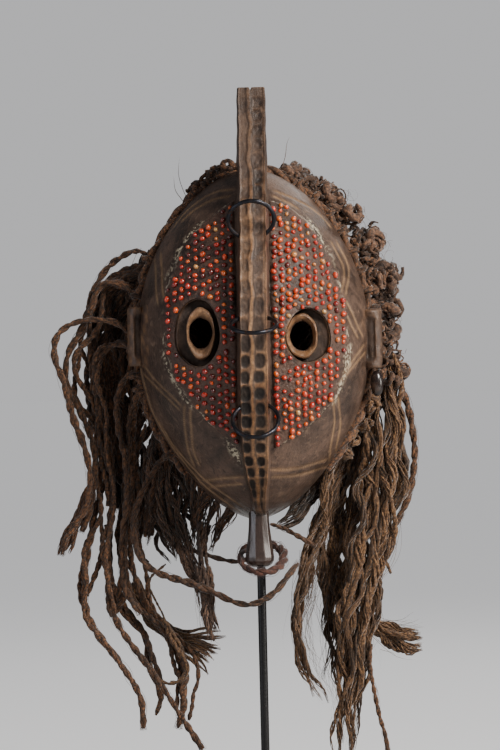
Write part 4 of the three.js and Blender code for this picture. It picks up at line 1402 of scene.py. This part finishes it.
def combine(piece, operation, other):
    """The piece joined with, or cut by, another object, which is then removed."""
    step = piece.modifiers.new("carve", "BOOLEAN")
    step.solver = "MANIFOLD"
    step.operation = operation
    step.object = other
    carved = bpy.data.meshes.new_from_object(piece.evaluated_get(bpy.context.evaluated_depsgraph_get()))
    piece.modifiers.clear()
    piece.data = carved
    bpy.data.objects.remove(other)


def carve(piece, operation, *forms):
    """The piece joined with, or cut by, each form in turn."""
    for form in forms:
        combine(piece, operation, raw_object("cutter", form))


def mesh_points(mesh):
    """A mesh's points as an array."""
    points = np.empty(3 * len(mesh.vertices), np.float32)
    mesh.vertices.foreach_get("co", points)
    return points.reshape(-1, 3).astype(float)


def bulge(mesh):
    """How sharply the surface stands out at each point, from 0 where it is flat or hollow: the step
    from the mean of a point's neighbours to the point, along its normal, by the edges' length."""
    points = mesh_points(mesh)
    normals = np.empty(3 * len(points), np.float32)
    mesh.vertex_normals.foreach_get("vector", normals)
    ends = np.empty(2 * len(mesh.edges), np.int32)
    mesh.edges.foreach_get("vertices", ends)
    ends = ends.reshape(-1, 2)
    step = points[ends[:, 1]] - points[ends[:, 0]]
    length = np.linalg.norm(step, axis=1)
    total = np.zeros_like(points)
    np.add.at(total, ends[:, 0], step)
    np.add.at(total, ends[:, 1], -step)
    reach = np.bincount(ends.ravel(), np.repeat(length, 2), len(points))
    return np.clip(-np.einsum("ij,ij->i", total, normals.reshape(-1, 3)) / np.maximum(reach, 1e-9), 0, 1)


def add_value(mesh, name, values):
    """A named value kept on a mesh's points for its material."""
    mesh.attributes.new(name, "FLOAT", "POINT").data.foreach_set("value", np.asarray(values, np.float32))


wood_edge_angle = np.radians(38)
mask = raw_object("mask_wood", shell())
for eye in eyes:
    carve(mask, "DIFFERENCE", moat_plug(eye, 0, eye["floor"], 1.5), eye_plug(eye))
    carve(mask, "UNION", boss(eye))
blade = raw_object("blade", crest())
for height, lift in rings.values():
    carve(blade, "DIFFERENCE", wire_ring(height, lift, ring_hole_wire, steps=48, sides=10))
carve(blade, "DIFFERENCE", notch())
combine(mask, "UNION", blade)
carve(mask, "UNION", knob(), *[lug(*place) for place in lugs])

# Wear and painted light of the wood, set down on its points: rubbed ribs, rungs, lips and edges, a painted
# highlight on the crest's right edge, darkening in the pits, painted shade in the moats, eye holes and
# slots and a painted shadow beside the rib, the carved lines' bottoms and the knob's polish.
x, y, z = mesh_points(mask.data).T / mm
crest_front = read_off(crest_stations, z, 1)
crest_across = x - face_x - read_off(crest_stations, z, 5)
crest_half_here = crest_half * read_off(crest_stations, z, 4)
behind = y - crest_front
on_crest = (np.abs(crest_across) < crest_half_here + 0.2) & (behind < 5.5) & (z > 252)
_, scoops = crest_relief(crest_across, z, crest_half_here)
lower = np.clip((430 - z) / 70, 0, 1)
past_rib = crest_across - rib_middle(z)
# Painted shadow: a dark stripe just to the right of the rib.
rib_shadow = np.clip(1 - np.abs(past_rib - 1.6 * rib_half) / rib_half, 0, 1) * (0.9 - 0.1 * np.sin(z / 17))
pitted = np.clip(2.4 * scoops, 0, 1) * (0.46 + 0.54 * lower)
smoked = 0.45 * np.clip((z - 500) / 40, 0, 1)
within_edges = on_crest & (np.abs(crest_across) < crest_half_here - 0.4)
hollowed = np.where(within_edges, np.maximum(pitted, rib_shadow), 0)
hollowed = np.where(on_crest, np.maximum(hollowed, smoked), hollowed)
rubbed_rib = np.clip(1.45 - np.abs(past_rib) / rib_half, 0, 1)
rubbed_rib = rubbed_rib * (0.85 - 0.35 * np.clip((z - 470) / 60, 0, 1))
rubbed_rungs = (0.14 + 0.5 * lower) * np.clip(1 - 1.8 * scoops, 0, 1)
rubbed_rungs = rubbed_rungs * np.clip(1.2 + np.sin(z / 5.3 + 2) * np.sin(z / 23), 0.4, 1)
# Painted highlight: two pale lines along the crest's right edge, the side the light falls on.
past_corner = crest_half_here - crest_across
from_corner = np.minimum(np.abs(past_corner - 0.4), np.abs(past_corner - 1.8))
right_edge_highlight = 0.6 * np.clip(1 - from_corner / 0.5, 0, 1)
rubbed_left = 0.42 * (crest_across < 0) * np.clip((508 - z) / 10, 0, 1) * np.clip((z - 418) / 20, 0, 1)
worn = np.where(on_crest, np.maximum.reduce([rubbed_rib, rubbed_rungs, right_edge_highlight, rubbed_left]), 0)
for eye in eyes:
    in_moat = moat_reach(eye, x, z, 0.9) < 1
    on_boss = oval_reach(x, z, eye["x"], eye["z"], np.add(eye["boss"], 0.4))
    in_hole = oval_reach(x, z, eye["x"], eye["z"], eye["hole"])
    # Painted shade: darker the deeper a point lies in the moat, in the eye hole and down the boss's sides.
    moat_shade = np.clip((y - face_front(x, z)) / 5, 0, 1) * (on_boss > 1)
    hole_shade = np.clip((y + 80.5) / 3.5, 0, 1) * (in_hole < 1.1)
    boss_side_shade = np.clip((y + 80) / 7, 0, 1) * (on_boss <= 1) * (in_hole > 1.1)
    dirt_and_shade = np.maximum.reduce([0.48 * moat_shade, hole_shade, 0.6 * boss_side_shade])
    hollowed = np.where(in_moat & (y < -40), np.maximum(hollowed, dirt_and_shade), hollowed)
    lid = (on_boss < 1.0) & (y < -76)
    crown = np.clip((-y - 79) / 4, 0, 1) * np.clip(1.2 - np.abs(on_boss - 0.72) / 0.3, 0, 1)
    worn = np.where(lid, eye["worn"] + 0.5 * crown, worn)
for middle_x, middle_z in lugs:
    near_lug = (np.abs(x - middle_x) < 9.5) & (np.abs(z - middle_z) < 25) & (y < -8)
    sunk = lug_radius - np.hypot(x - middle_x, y - rim_y + lug_radius + 1)
    # Painted shade in each lug's slot, darker the deeper it is sunk.
    slot_shade = 0.5 * np.clip(sunk / 2.0, 0, 1)
    hollowed = np.where(near_lug & (x * middle_x > 0), np.maximum(hollowed, slot_shade), hollowed)
    rubbed = (0.42 if middle_x < 0 else 0.12) * np.clip(0.4 + np.sin(z / 2.7) * np.sin(z / 7.1 + x), 0, 1)
    worn = np.where(near_lug & (sunk < 0.7), np.maximum(worn, rubbed), worn)
in_front = (y < face_front(x, z) + 2) & ~on_crest & (reach_at(x, z) < 1.02)
carved = np.where(in_front, carved_share(x, z), 0)
edges = bulge(mask.data)
add_value(mask.data, "worn", np.clip(np.maximum(worn, 1.2 * edges), 0, 1))
add_value(mask.data, "hollowed", hollowed)
add_value(mask.data, "carved", carved)
add_value(mask.data, "polish", np.clip((264 - z) / 12, 0, 1) * (z < 264))
mask.data.shade_smooth()
mask.data.set_sharp_from_angle(angle=wood_edge_angle)


# Wood: dark grey-brown, darkened by smoke and handling, with a fine upright grain. It is rubbed pale on ribs
# and edges, with a painted highlight on the crest's right edge, black in the pits, near black with painted
# shade in the moats, eye holes and slots and beside the rib, chalky beside the resin and polished on the
# knob.
def make_grain_group():
    """Four noises in the object's own space: Grain drawn out elevenfold up and down, broad Patches,
    fine Specks and broken Scuffs."""
    names = ("Grain", "Patches", "Specks", "Scuffs")
    tree = make_group("upright_grain", {}, dict.fromkeys(names, "Float"))
    result = add_node(tree, "NodeGroupOutput")
    place = add_node(tree, "ShaderNodeTexCoord").outputs["Object"]
    drawn = add_node(tree, "ShaderNodeMapping", {"Vector": place, "Scale": (520.0, 520.0, 46.0)})
    factors = (
        noise(tree, drawn.outputs["Vector"], 1.0, 5.0, Roughness=0.62),
        noise(tree, place, 32.0, 6.0, Roughness=0.62, Distortion=0.6),
        noise(tree, place, 420.0, 3.0),
        noise(tree, place, 120.0, 8.0, Roughness=0.7, Distortion=1.4),
    )
    for name, factor in zip(names, factors):
        tree.links.new(factor, result.inputs[name])
    return tree


grain_group = make_grain_group()


def grain_in(tree):
    """The grain's factors, for use in a material."""
    return add_node(tree, "ShaderNodeGroup", node_tree=grain_group).outputs


def finish_with(piece, material):
    """The material becomes the piece's only one."""
    piece.data.materials.clear()
    piece.data.materials.append(material)


carved_wood, tree, shader = new_material("carved_wood", Specular_IOR_Level=0.4, Coat_Roughness=0.16)
grain = grain_in(tree)
patches = scaled(tree, grain["Patches"], 0.36, 0.66)
streaks = scaled(tree, grain["Grain"], 0.35, 0.68)
specks = scaled(tree, grain["Specks"], 0.35, 0.7)
wood = blend(tree, patches, colour(46, 35, 29), colour(103, 81, 68))
wood = blend(tree, times(tree, streaks, 0.5), wood, colour(70, 53, 43))
wood = blend(tree, scaled(tree, grain["Scuffs"], 0.55, 0.7, 0.0, 0.8), wood, colour(126, 102, 84))
wood = blend(tree, scaled(tree, grain["Scuffs"], 0.46, 0.3, 0.0, 0.85), wood, colour(30, 22, 18))
flecks = scaled(tree, combined(tree, "ADD", grain["Specks"], grain["Scuffs"]), 1.0, 1.1)
chalky = times(tree, point_value(tree, "chalk"), flecks)
wood = blend(tree, chalky, wood, colour(196, 184, 158))
line_wear = times(tree, point_value(tree, "carved"), scaled(tree, patches, 0, 1, 0.5, 1.0))
wood = blend(tree, line_wear, wood, colour(158, 126, 92))
# The worn share holds the wear and also the painted highlight on the crest's right edge.
wear_and_highlight = times(tree, point_value(tree, "worn"), scaled(tree, specks, 0, 1, 0.6, 1.1))
wear_and_highlight = times(tree, wear_and_highlight, scaled(tree, grain["Scuffs"], 0.4, 0.58, 0.55, 1.15))
wear_and_highlight_colour = blend(tree, patches, colour(118, 78, 46), colour(184, 138, 94))
wood = blend(tree, wear_and_highlight, wood, wear_and_highlight_colour)
# Dark where the hollowed share stands: in the pits and on the crest's top, and as painted shade in the moats,
# eye holes, slots and beside the rib.
pit_colour = blend(tree, patches, colour(12, 8, 6), colour(42, 33, 27))
wood = blend(tree, times(tree, point_value(tree, "hollowed"), 0.94), wood, pit_colour)
wood = blend(tree, times(tree, point_value(tree, "polish"), 0.75), wood, colour(50, 41, 39))
tree.links.new(wood, shader.inputs["Base Color"])
dull = scaled(tree, grain["Patches"], 0.35, 0.7, 0.34, 0.54)
dull = combined(tree, "SUBTRACT", dull, times(tree, point_value(tree, "polish"), 0.2))
dull = combined(tree, "ADD", dull, times(tree, point_value(tree, "hollowed"), 0.4))
tree.links.new(dull, shader.inputs["Roughness"])
tree.links.new(times(tree, point_value(tree, "polish"), 0.8), shader.inputs["Coat Weight"])
relief = combined(tree, "ADD", times(tree, streaks, 0.6), times(tree, specks, 0.5))
roughen(tree, shader, relief, 0.5, 0.0005)
finish_with(mask, carved_wood)
stand_for(mask, "carved_wood", "mask")

# Seed beds: a field of dark resin on each cheek, laid on the wood up to the crest and round the moat,
# with lumps, wavy edges and pale chips along them.
bed_thickness = 1.7
bed_gap = 0.12
bed_edge_angle = np.radians(50)
bed_inner = {"seed_bed_left": -15.6, "seed_bed_right": 12.4}
# Outline of each field away from the crest: height, then how far out it reaches.
bed_outlines = {
    "seed_bed_right": [
        (305.5, 13.4), (308, 18), (312, 25), (316, 32), (332, 51), (343, 60), (355, 66), (376, 72), (398, 73),
        (422, 71), (446, 65), (468, 54), (482, 45), (492, 36), (499, 26), (503.5, 13.4),
    ],
    "seed_bed_left": [
        (309.5, -17.4), (312, -21), (323, -35), (339, -50), (357, -63), (376, -71), (398, -74), (422, -74),
        (445, -68), (469, -55), (482, -44), (490, -35), (498, -25), (503.5, -17.4),
    ],
}


def bed_ends(name):
    """The lowest and the highest height of a field."""
    heights = [up for up, _ in bed_outlines[name]]
    return min(heights), max(heights)


def bed_edge(name, z):
    """How far out a field reaches at a height: its smooth outline with a wavering, broken edge."""
    line = smooth_line([(out, 0.0, up) for up, out in bed_outlines[name]], 120)
    outer = np.interp(z, line[:, 2], line[:, 0])
    waver = 0.9 * np.sin(z / 6.1) * np.sin(z / 2.3 + 1) + 0.7 * np.sin(z / 13 + 2)
    fade = np.clip(np.abs(outer - bed_inner[name]) / 12, 0, 1)
    return outer + np.sign(outer) * waver * fade


def bed_height(x, z):
    """Thickness of the resin: small lumps and broad swells, as crossed sines of the place."""
    lumps = np.sin(x / 1.9 + 2 * np.sin(z / 4.1)) * np.sin(z / 2.2 + 1.5 * np.sin(x / 3.7))
    broad = np.sin(x / 7.3 + z / 9.1) * np.sin(z / 6.1 - x / 8.3)
    return bed_thickness + 0.22 * lumps + 0.28 * broad


def seed_bed(name):
    """Rings at one height each: over the resin from the crest outwards and back beneath it."""
    low, high = bed_ends(name)
    z = np.linspace(low, high, 135)[:, None]
    inner = bed_inner[name]
    outer = bed_edge(name, z)
    share = np.linspace(0, 1, 42)[None]
    x = inner + (outer - inner) * share
    from_side = np.minimum(np.abs(x - outer), np.abs(x - inner))
    from_end = np.minimum(z - low, high - z)
    rounding = np.clip(np.minimum(from_side, from_end + 0.4) / 1.6, 0.1, 1) ** 0.5
    over = face_front(x, z) - bed_gap - bed_height(x, z) * rounding
    under = face_front(x, z) - bed_gap
    ring_x = np.concatenate([x, x[:, ::-1]], axis=1)
    ring_y = np.concatenate([over, under[:, ::-1]], axis=1)
    return ringed(ring_x, ring_y, z)


def in_field(name, x, z, margin):
    """Whether places lie inside a field by a margin, and clear of the moats."""
    side = np.sign(bed_inner[name])
    inside = side * x > side * bed_inner[name] + margin * 0.7
    inside &= side * x < side * bed_edge(name, z) - margin
    low, high = bed_ends(name)
    inside &= (z > low + margin) & (z < high - margin)
    for eye in eyes:
        inside &= moat_reach(eye, x, z, margin + 0.4) > 1
    return inside


# Seeds: small glossy orange-red seeds pressed into the resin in close rows, most of them half sunk.
# A few are lost, and those of the left cheek are painted darker and redder as shade, away from the light.
seed_pitch = {"seed_bed_left": 6.2, "seed_bed_right": 5.7}
seed_row = {"seed_bed_left": 5.6, "seed_bed_right": 5.35}
seed_sizes = (1.65, 2.55)
lost_share = 0.035
# Power on each seed's tone: the higher one darkens and reddens the left cheek's seeds as painted shade.
seed_shade_power = {"seed_bed_left": 2.2, "seed_bed_right": 1.0}
seed_rises = (-58, -22, 18, 55)
seed_sides = 8


def seed_places(name, seed):
    """A staggered lattice whose first column follows the crest, each place shifted at random."""
    rng = np.random.default_rng(seed)
    side = np.sign(bed_inner[name])
    column, row = np.meshgrid(np.arange(0, 13), np.arange(-17, 18), indexing="ij")
    x = bed_inner[name] + side * (3.1 + column * seed_row[name])
    z = 405 + (row + (column % 2) / 2) * seed_pitch[name]
    x = (x + rng.normal(0, 0.5, x.shape)).ravel()
    z = (z + rng.normal(0, 0.6, z.shape)).ravel()
    kept = in_field(name, x, z, 1.9) & (rng.uniform(0, 1, x.shape) > lost_share)
    return x[kept], z[kept]


def seeds(name, seed):
    """Small egg shapes, each turned its own way in the plane of the face and lifted off the resin."""
    rng = np.random.default_rng(seed)
    x, z = seed_places(name, seed + 1)
    count = len(x)
    size = rng.uniform(*seed_sizes, count)[:, None, None]
    rise = np.radians(np.array(seed_rises))[None, :, None]
    turn = full_turn(seed_sides)[None, None]
    long_way = 1.14 * np.sin(turn) * np.cos(rise)
    short_way = 0.92 * np.cos(turn) * np.cos(rise)
    spin = rng.uniform(0, np.pi, count)[:, None, None]
    east = size * (short_way * np.cos(spin) - long_way * np.sin(spin))
    north = size * (short_way * np.sin(spin) + long_way * np.cos(spin))
    out = size * 0.95 * np.sin(rise) + 0 * east
    step = 0.6
    slope_x = (face_front(x + step, z) - face_front(x - step, z)) / (2 * step)
    slope_z = (face_front(x, z + step) - face_front(x, z - step)) / (2 * step)
    normal = np.stack([slope_x, -np.ones(count), slope_z], axis=1)
    normal /= np.linalg.norm(normal, axis=1, keepdims=True)
    level = np.stack([-normal[:, 1], normal[:, 0], np.zeros(count)], axis=1)
    level /= np.linalg.norm(level, axis=1, keepdims=True)
    upward = np.cross(normal, level)
    upward *= np.sign(upward[:, 2:])
    base = np.stack([x, face_front(x, z) - bed_gap - bed_height(x, z), z], axis=1)
    sunk = rng.uniform(0.05, 0.45, count)[:, None, None]
    middle = base[:, None, None] + normal[:, None, None] * (size * sunk)[..., None]
    shell_points = (
        middle + east[..., None] * level[:, None, None] + north[..., None] * upward[:, None, None]
        + out[..., None] * normal[:, None, None]
    )
    pole_reach = size[:, :, 0] * 0.95 * np.array([-1, 1])
    poles = middle[:, 0, 0][:, None] + pole_reach[..., None] * normal[:, None]
    points = np.concatenate([shell_points.reshape(count, -1, 3), poles], axis=1)
    single = skin(shell_points[0])
    single["points"][-2:] = poles[0]
    turned = outward(single)
    of_one = points.shape[1]
    base = np.arange(count)[:, None, None] * of_one
    return {
        "points": points.reshape(-1, 3) * mm,
        "quads": (turned["quads"][None] + base).reshape(-1, 4),
        "triangles": (turned["triangles"][None] + base).reshape(-1, 3),
        "tone": np.repeat(rng.uniform(0, 1, count) ** seed_shade_power[name], of_one),
    }


def make_resin():
    """Grey-brown resin in darker and paler patches, with dust and with pale chips at its edge."""
    material, tree, shader = new_material("resin", Specular_IOR_Level=0.45)
    grain = grain_in(tree)
    patches = scaled(tree, grain["Patches"], 0.35, 0.66)
    specks = scaled(tree, grain["Specks"], 0.38, 0.66)
    earth = blend(tree, patches, colour(40, 31, 25), colour(88, 64, 53))
    earth = blend(tree, times(tree, specks, 0.45), earth, colour(106, 78, 64))
    chips = scaled(tree, grain["Specks"], 0.46, 0.56)
    chipped = times(tree, point_value(tree, "edge"), chips)
    earth = blend(tree, chipped, earth, colour(196, 182, 158))
    tree.links.new(earth, shader.inputs["Base Color"])
    tree.links.new(scaled(tree, grain["Specks"], 0.35, 0.7, 0.42, 0.75), shader.inputs["Roughness"])
    roughen(tree, shader, specks, 0.7, 0.0006)
    return material


def make_seed_skin():
    """Glossy seed skin; each seed's tone picks maroon, red, orange or, for a few, pale straw."""
    material, tree, shader = new_material(
        "seed_skin", Roughness=0.26, Specular_IOR_Level=0.7, Coat_Weight=0.9, Coat_Roughness=0.16
    )
    ramp = add_node(tree, "ShaderNodeValToRGB", {"Fac": point_value(tree, "tone")})
    stops = [
        (0.0, (88, 20, 14)), (0.07, (142, 26, 16)), (0.22, (190, 42, 20)), (0.55, (212, 68, 22)),
        (0.84, (222, 96, 26)), (0.95, (206, 116, 44)), (1.0, (206, 158, 98)),
    ]
    elements = ramp.color_ramp.elements
    for position, _ in stops[1:-1]:
        elements.new(position)
    for element, (position, shade) in zip(elements, stops):
        element.position = position
        element.color = colour(*shade)
    grain = grain_in(tree)
    dirt_and_shade = scaled(tree, grain["Specks"], 0.5, 0.75, 0.0, 0.45)
    tree.links.new(blend(tree, dirt_and_shade, ramp.outputs["Color"], colour(70, 34, 22)), shader.inputs["Base Color"])
    return material


resin = make_resin()
seed_skin = make_seed_skin()
for number, name in enumerate(bed_outlines):
    bed = raw_object(name, seed_bed(name))
    for eye in eyes:
        carve(bed, "DIFFERENCE", moat_plug(eye, 0.5, -40, 1.6))
    x, y, z = mesh_points(bed.data).T / mm
    near_edge = np.clip(1 - np.abs(x - bed_edge(name, z)) / 2.2, 0, 1)
    patchy = np.clip(1.6 * np.sin(z / 11.3 + number) * np.sin(z / 4.9) + 0.3, 0, 1)
    add_value(bed.data, "edge", near_edge * patchy)
    bed.data.shade_smooth()
    bed.data.set_sharp_from_angle(angle=bed_edge_angle)
    finish_with(bed, resin)
    stand_for(bed, "resin_bed", name)
    sown = build(name.replace("bed", "rows"), [seeds(name, 61 + 7 * number)], seed_skin, ("tone",))
    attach(sown, "root")

# Chalk: pale flecks on the wood along the outer edge of each field, where the resin has broken away,
# and a patch beside the crest's foot on the left.
chalk_reach = 5.0
chalk_turns = {"seed_bed_right": -1.2, "seed_bed_left": 5.3}
x, y, z = mesh_points(mask.data).T / mm
chalk = np.zeros(len(x))
for name, chalk_turn in chalk_turns.items():
    low, high = bed_ends(name)
    past_edge = np.sign(bed_inner[name]) * (x - bed_edge(name, np.clip(z, low, high)))
    near = np.clip(1 - np.abs(past_edge - 0.4 * chalk_reach) / (0.6 * chalk_reach), 0, 1)
    near = near * np.clip(1.7 * np.sin(z / 17 + chalk_turn) + 0.6 * np.sin(z / 5.3), 0, 1)
    on_face = (y < -25) & (z > low) & (z < high) & (np.abs(x) > 20)
    chalk = np.maximum(chalk, np.where(on_face, near, 0))
chalk_patch = np.exp(-(((x + 19.5 + 0.5 * (z - 303)) / 2.8) ** 2) - ((z - 303) / 8) ** 2)
chalk = np.maximum(chalk, np.where(y < -25, np.clip(1.6 * chalk_patch, 0, 1), 0))
add_value(mask.data, "chalk", chalk)


# Iron rings: three rings of hand-drawn wire that hang through the holes in the crest. The iron is dark,
# a little uneven and brown with rust in places.
iron, tree, shader = new_material("dark_iron", Metallic=0.85)
grain = grain_in(tree)
rust = scaled(tree, grain["Specks"], 0.5, 0.72)
tree.links.new(blend(tree, rust, colour(46, 48, 54), colour(66, 48, 38)), shader.inputs["Base Color"])
tree.links.new(scaled(tree, rust, 0, 1, 0.3, 0.62), shader.inputs["Roughness"])
for name, (height, lift) in rings.items():
    form = wire_ring(height, lift, ring_wire, steps=110, sides=14, uneven=0.05)
    form["points"] = in_metres(form["points"])
    stand_for(build(name, [form], iron, ()), "iron", name)

# Rope ring: a ring of dark red-brown rope of two plies hung round the chin knob. Its ends lap beside
# each other, and it leans down towards the front.
rope_radius = 3.2
rope_middle = (1.0, -14.5, 216.0)
rope_ring = (17.4, 26.4)
rope_tilt = np.radians(24)
turn = np.linspace(-0.3, 2 * np.pi + 0.3, 170) + 0.35
lap = np.clip((np.abs(turn - 0.35 - np.pi) - np.pi + 0.42) / 0.6, 0, 1) * np.sign(turn - 0.35 - np.pi)
level_y = (rope_ring[1] + 0.9 * lap) * np.sin(turn)
rope_line = np.stack([
    rope_middle[0] + (rope_ring[0] + 1.2 * lap) * np.cos(turn),
    rope_middle[1] + level_y * np.cos(rope_tilt) - 1.4 * lap * np.sin(rope_tilt),
    rope_middle[2] + level_y * np.sin(rope_tilt) + 1.4 * lap * np.cos(rope_tilt),
], axis=1) * mm
rope_reference = np.array((0.0, -np.sin(rope_tilt), np.cos(rope_tilt)))
red_rope = fibre_material("red_rope", colour(28, 13, 10), colour(78, 46, 36), colour(140, 90, 70), 520.0)
rope_forms = [
    twisted_cord(rope_line, rope_radius * mm, 71, rope_reference),
    loose_fibres(rope_line, rope_radius * mm, 70, 72, thickness=0.00012, lift=0.7, reference=rope_reference),
]
stand_for(build("chin_ring", rope_forms, red_rope), "twisted_rope", "chin_ring")

# Rim rope: the dark rope of two plies behind the rim that the fringe is tied to. It also carries the
# ties, the small curls that fill the gap to the ruff, a tuft at the crown and a few stiff hairs.
rim_rope_radius = 4.5
rim_turn = np.radians(np.linspace(-62, 242, 430))
rim_reach = outline_radius(rim_turn) + 1.5
rim_line = np.stack([
    face_x + rim_reach * np.cos(rim_turn),
    rim_y + rim_rope_radius + 0.6 + 0.3 * np.sin(7 * rim_turn),
    face_z + rim_reach * np.sin(rim_turn),
], axis=1) * mm
tie_reach = 0.03
tie_steps = 46
ruff_ties = 10
ruff_tie_radius = 0.0022
ruff_filling = 84


def tie(start, radius, seed):
    """The tie of something that hangs from the rope: a cord that runs to the rope's nearest point and
    round it once and a half, pressed flat against the wood."""
    nearest = np.argmin(np.linalg.norm(rim_line - start, axis=1))
    along, across, out = (way[nearest] for way in directions(rim_line))
    away = start - rim_line[nearest]
    angle = np.arctan2(away @ out, away @ across) + np.linspace(0.3, 3.2 * np.pi, 30)[:, None]
    loop = (rim_rope_radius * mm + 0.6 * radius) * (across * np.cos(angle) + out * np.sin(angle))
    loop = rim_line[nearest] + loop + along * np.linspace(0, 2.6, 30)[:, None] * radius
    loop[:, 1] = np.maximum(loop[:, 1], -3.2 * mm)
    return twisted_cord(smooth_line(np.vstack([start, loop]), tie_steps), radius, seed)


rim_forms = [
    twisted_cord(rim_line, rim_rope_radius * mm, 75),
    loose_fibres(rim_line, rim_rope_radius * mm, 180, 76, lift=0.6),
]
for number, route in enumerate(cord_routes.values()):
    start = in_metres(route[0])
    if np.linalg.norm(rim_line - start, axis=1).min() < tie_reach:
        rim_forms.append(tie(start, 0.85 * cord_radius, 77 + number))
for number, start in enumerate(smooth_line(ruff_line, ruff_ties + 2)[1:-2]):
    rim_forms.append(tie(start, ruff_tie_radius, 90 + number))
ruff_middle = smooth_line(ruff_line, 60)
to_rope = rim_line[np.linalg.norm(rim_line[None] - ruff_middle[:, None], axis=2).argmin(axis=1)]
half_way = 0.5 * (ruff_middle + to_rope)
filling = curls(half_way, 0.0058, ruff_filling, 87, (0.0018, 0.0042), (0.002, 0.006), steps=20)
rim_forms.append(spun(filling, (0.0012, 0.0028), 88, sides=5))
by_crest = (rim_turn > np.radians(96)) & (rim_turn < np.radians(111))
crown_line = rim_line[by_crest] + np.array((-0.001, 0.0, 0.003))
crown_tuft = curls(crown_line, 0.0036, 26, 85, (0.002, 0.0036), (0.003, 0.007), steps=24)
rim_forms.append(spun(crown_tuft, (0.0014, 0.0028), 86, sides=6))
# Stiff hairs that stand off the rope: two above the left cheek and one to the right of the crest.
stray_hairs = [
    [(-50, 3, 503), (-56, 1, 514), (-60, 0, 528), (-59, -2, 542)],
    [(-52, 3, 500), (-58, 0, 508), (-63, -1, 516), (-64, -2, 527)],
    [(24, 3, 532), (27, 0, 541), (28.5, -2, 551), (31, -3, 557)],
]
stray_lines = np.stack([smooth_line(in_metres(points), 16) for points in stray_hairs])
rim_forms.append(hairs(stray_lines, 89, thickness=0.0003))
stand_for(build("rim_rope", rim_forms, dark_cord), "twisted_rope", "rim_rope")

# Bead: a long dark bead below the right lug, brown-black and polished by handling. Its form is round
# with blunt ends.
bead_middle = np.array((97.0, -14.0, 355.0))
bead_size = np.array((5.2, 5.2, 10.4))
rise = np.radians(np.linspace(-84, 84, 26))[:, None]
turn = full_turn(36)[None]
bead_rings = np.stack([
    np.cos(rise) ** 0.8 * np.cos(turn), np.cos(rise) ** 0.8 * np.sin(turn), np.sin(rise) + 0 * turn
], axis=-1)
bead_form = outward(skin(bead_middle + bead_size * bead_rings))
bead_form["points"] = in_metres(bead_form["points"])
dark_bead, tree, shader = new_material("dark_bead", Roughness=0.24, Coat_Weight=0.3)
grain = grain_in(tree)
veins = scaled(tree, grain["Patches"], 0.42, 0.62)
tree.links.new(blend(tree, veins, colour(34, 26, 24), colour(78, 58, 46)), shader.inputs["Base Color"])
stand_for(build("lug_bead", [bead_form], dark_bead, ()), "bead", "lug_bead")

# Stand: a black steel rod that rises behind the chin to a cradle inside the hollow, on a square foot.
# The three are welded and painted; the frame's own solids are shown, with the paint put on them.
black_steel, tree, shader = new_material(
    "black_steel", Base_Color=colour(12, 11, 13), Roughness=0.3, Specular_IOR_Level=0.45, Coat_Weight=0.1
)
grain = grain_in(tree)
tree.links.new(scaled(tree, grain["Specks"], 0.35, 0.7, 0.26, 0.34), shader.inputs["Roughness"])
for name in ("stand_rod", "stand_cradle", "stand_foot"):
    finish_with(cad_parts[name], black_steel)
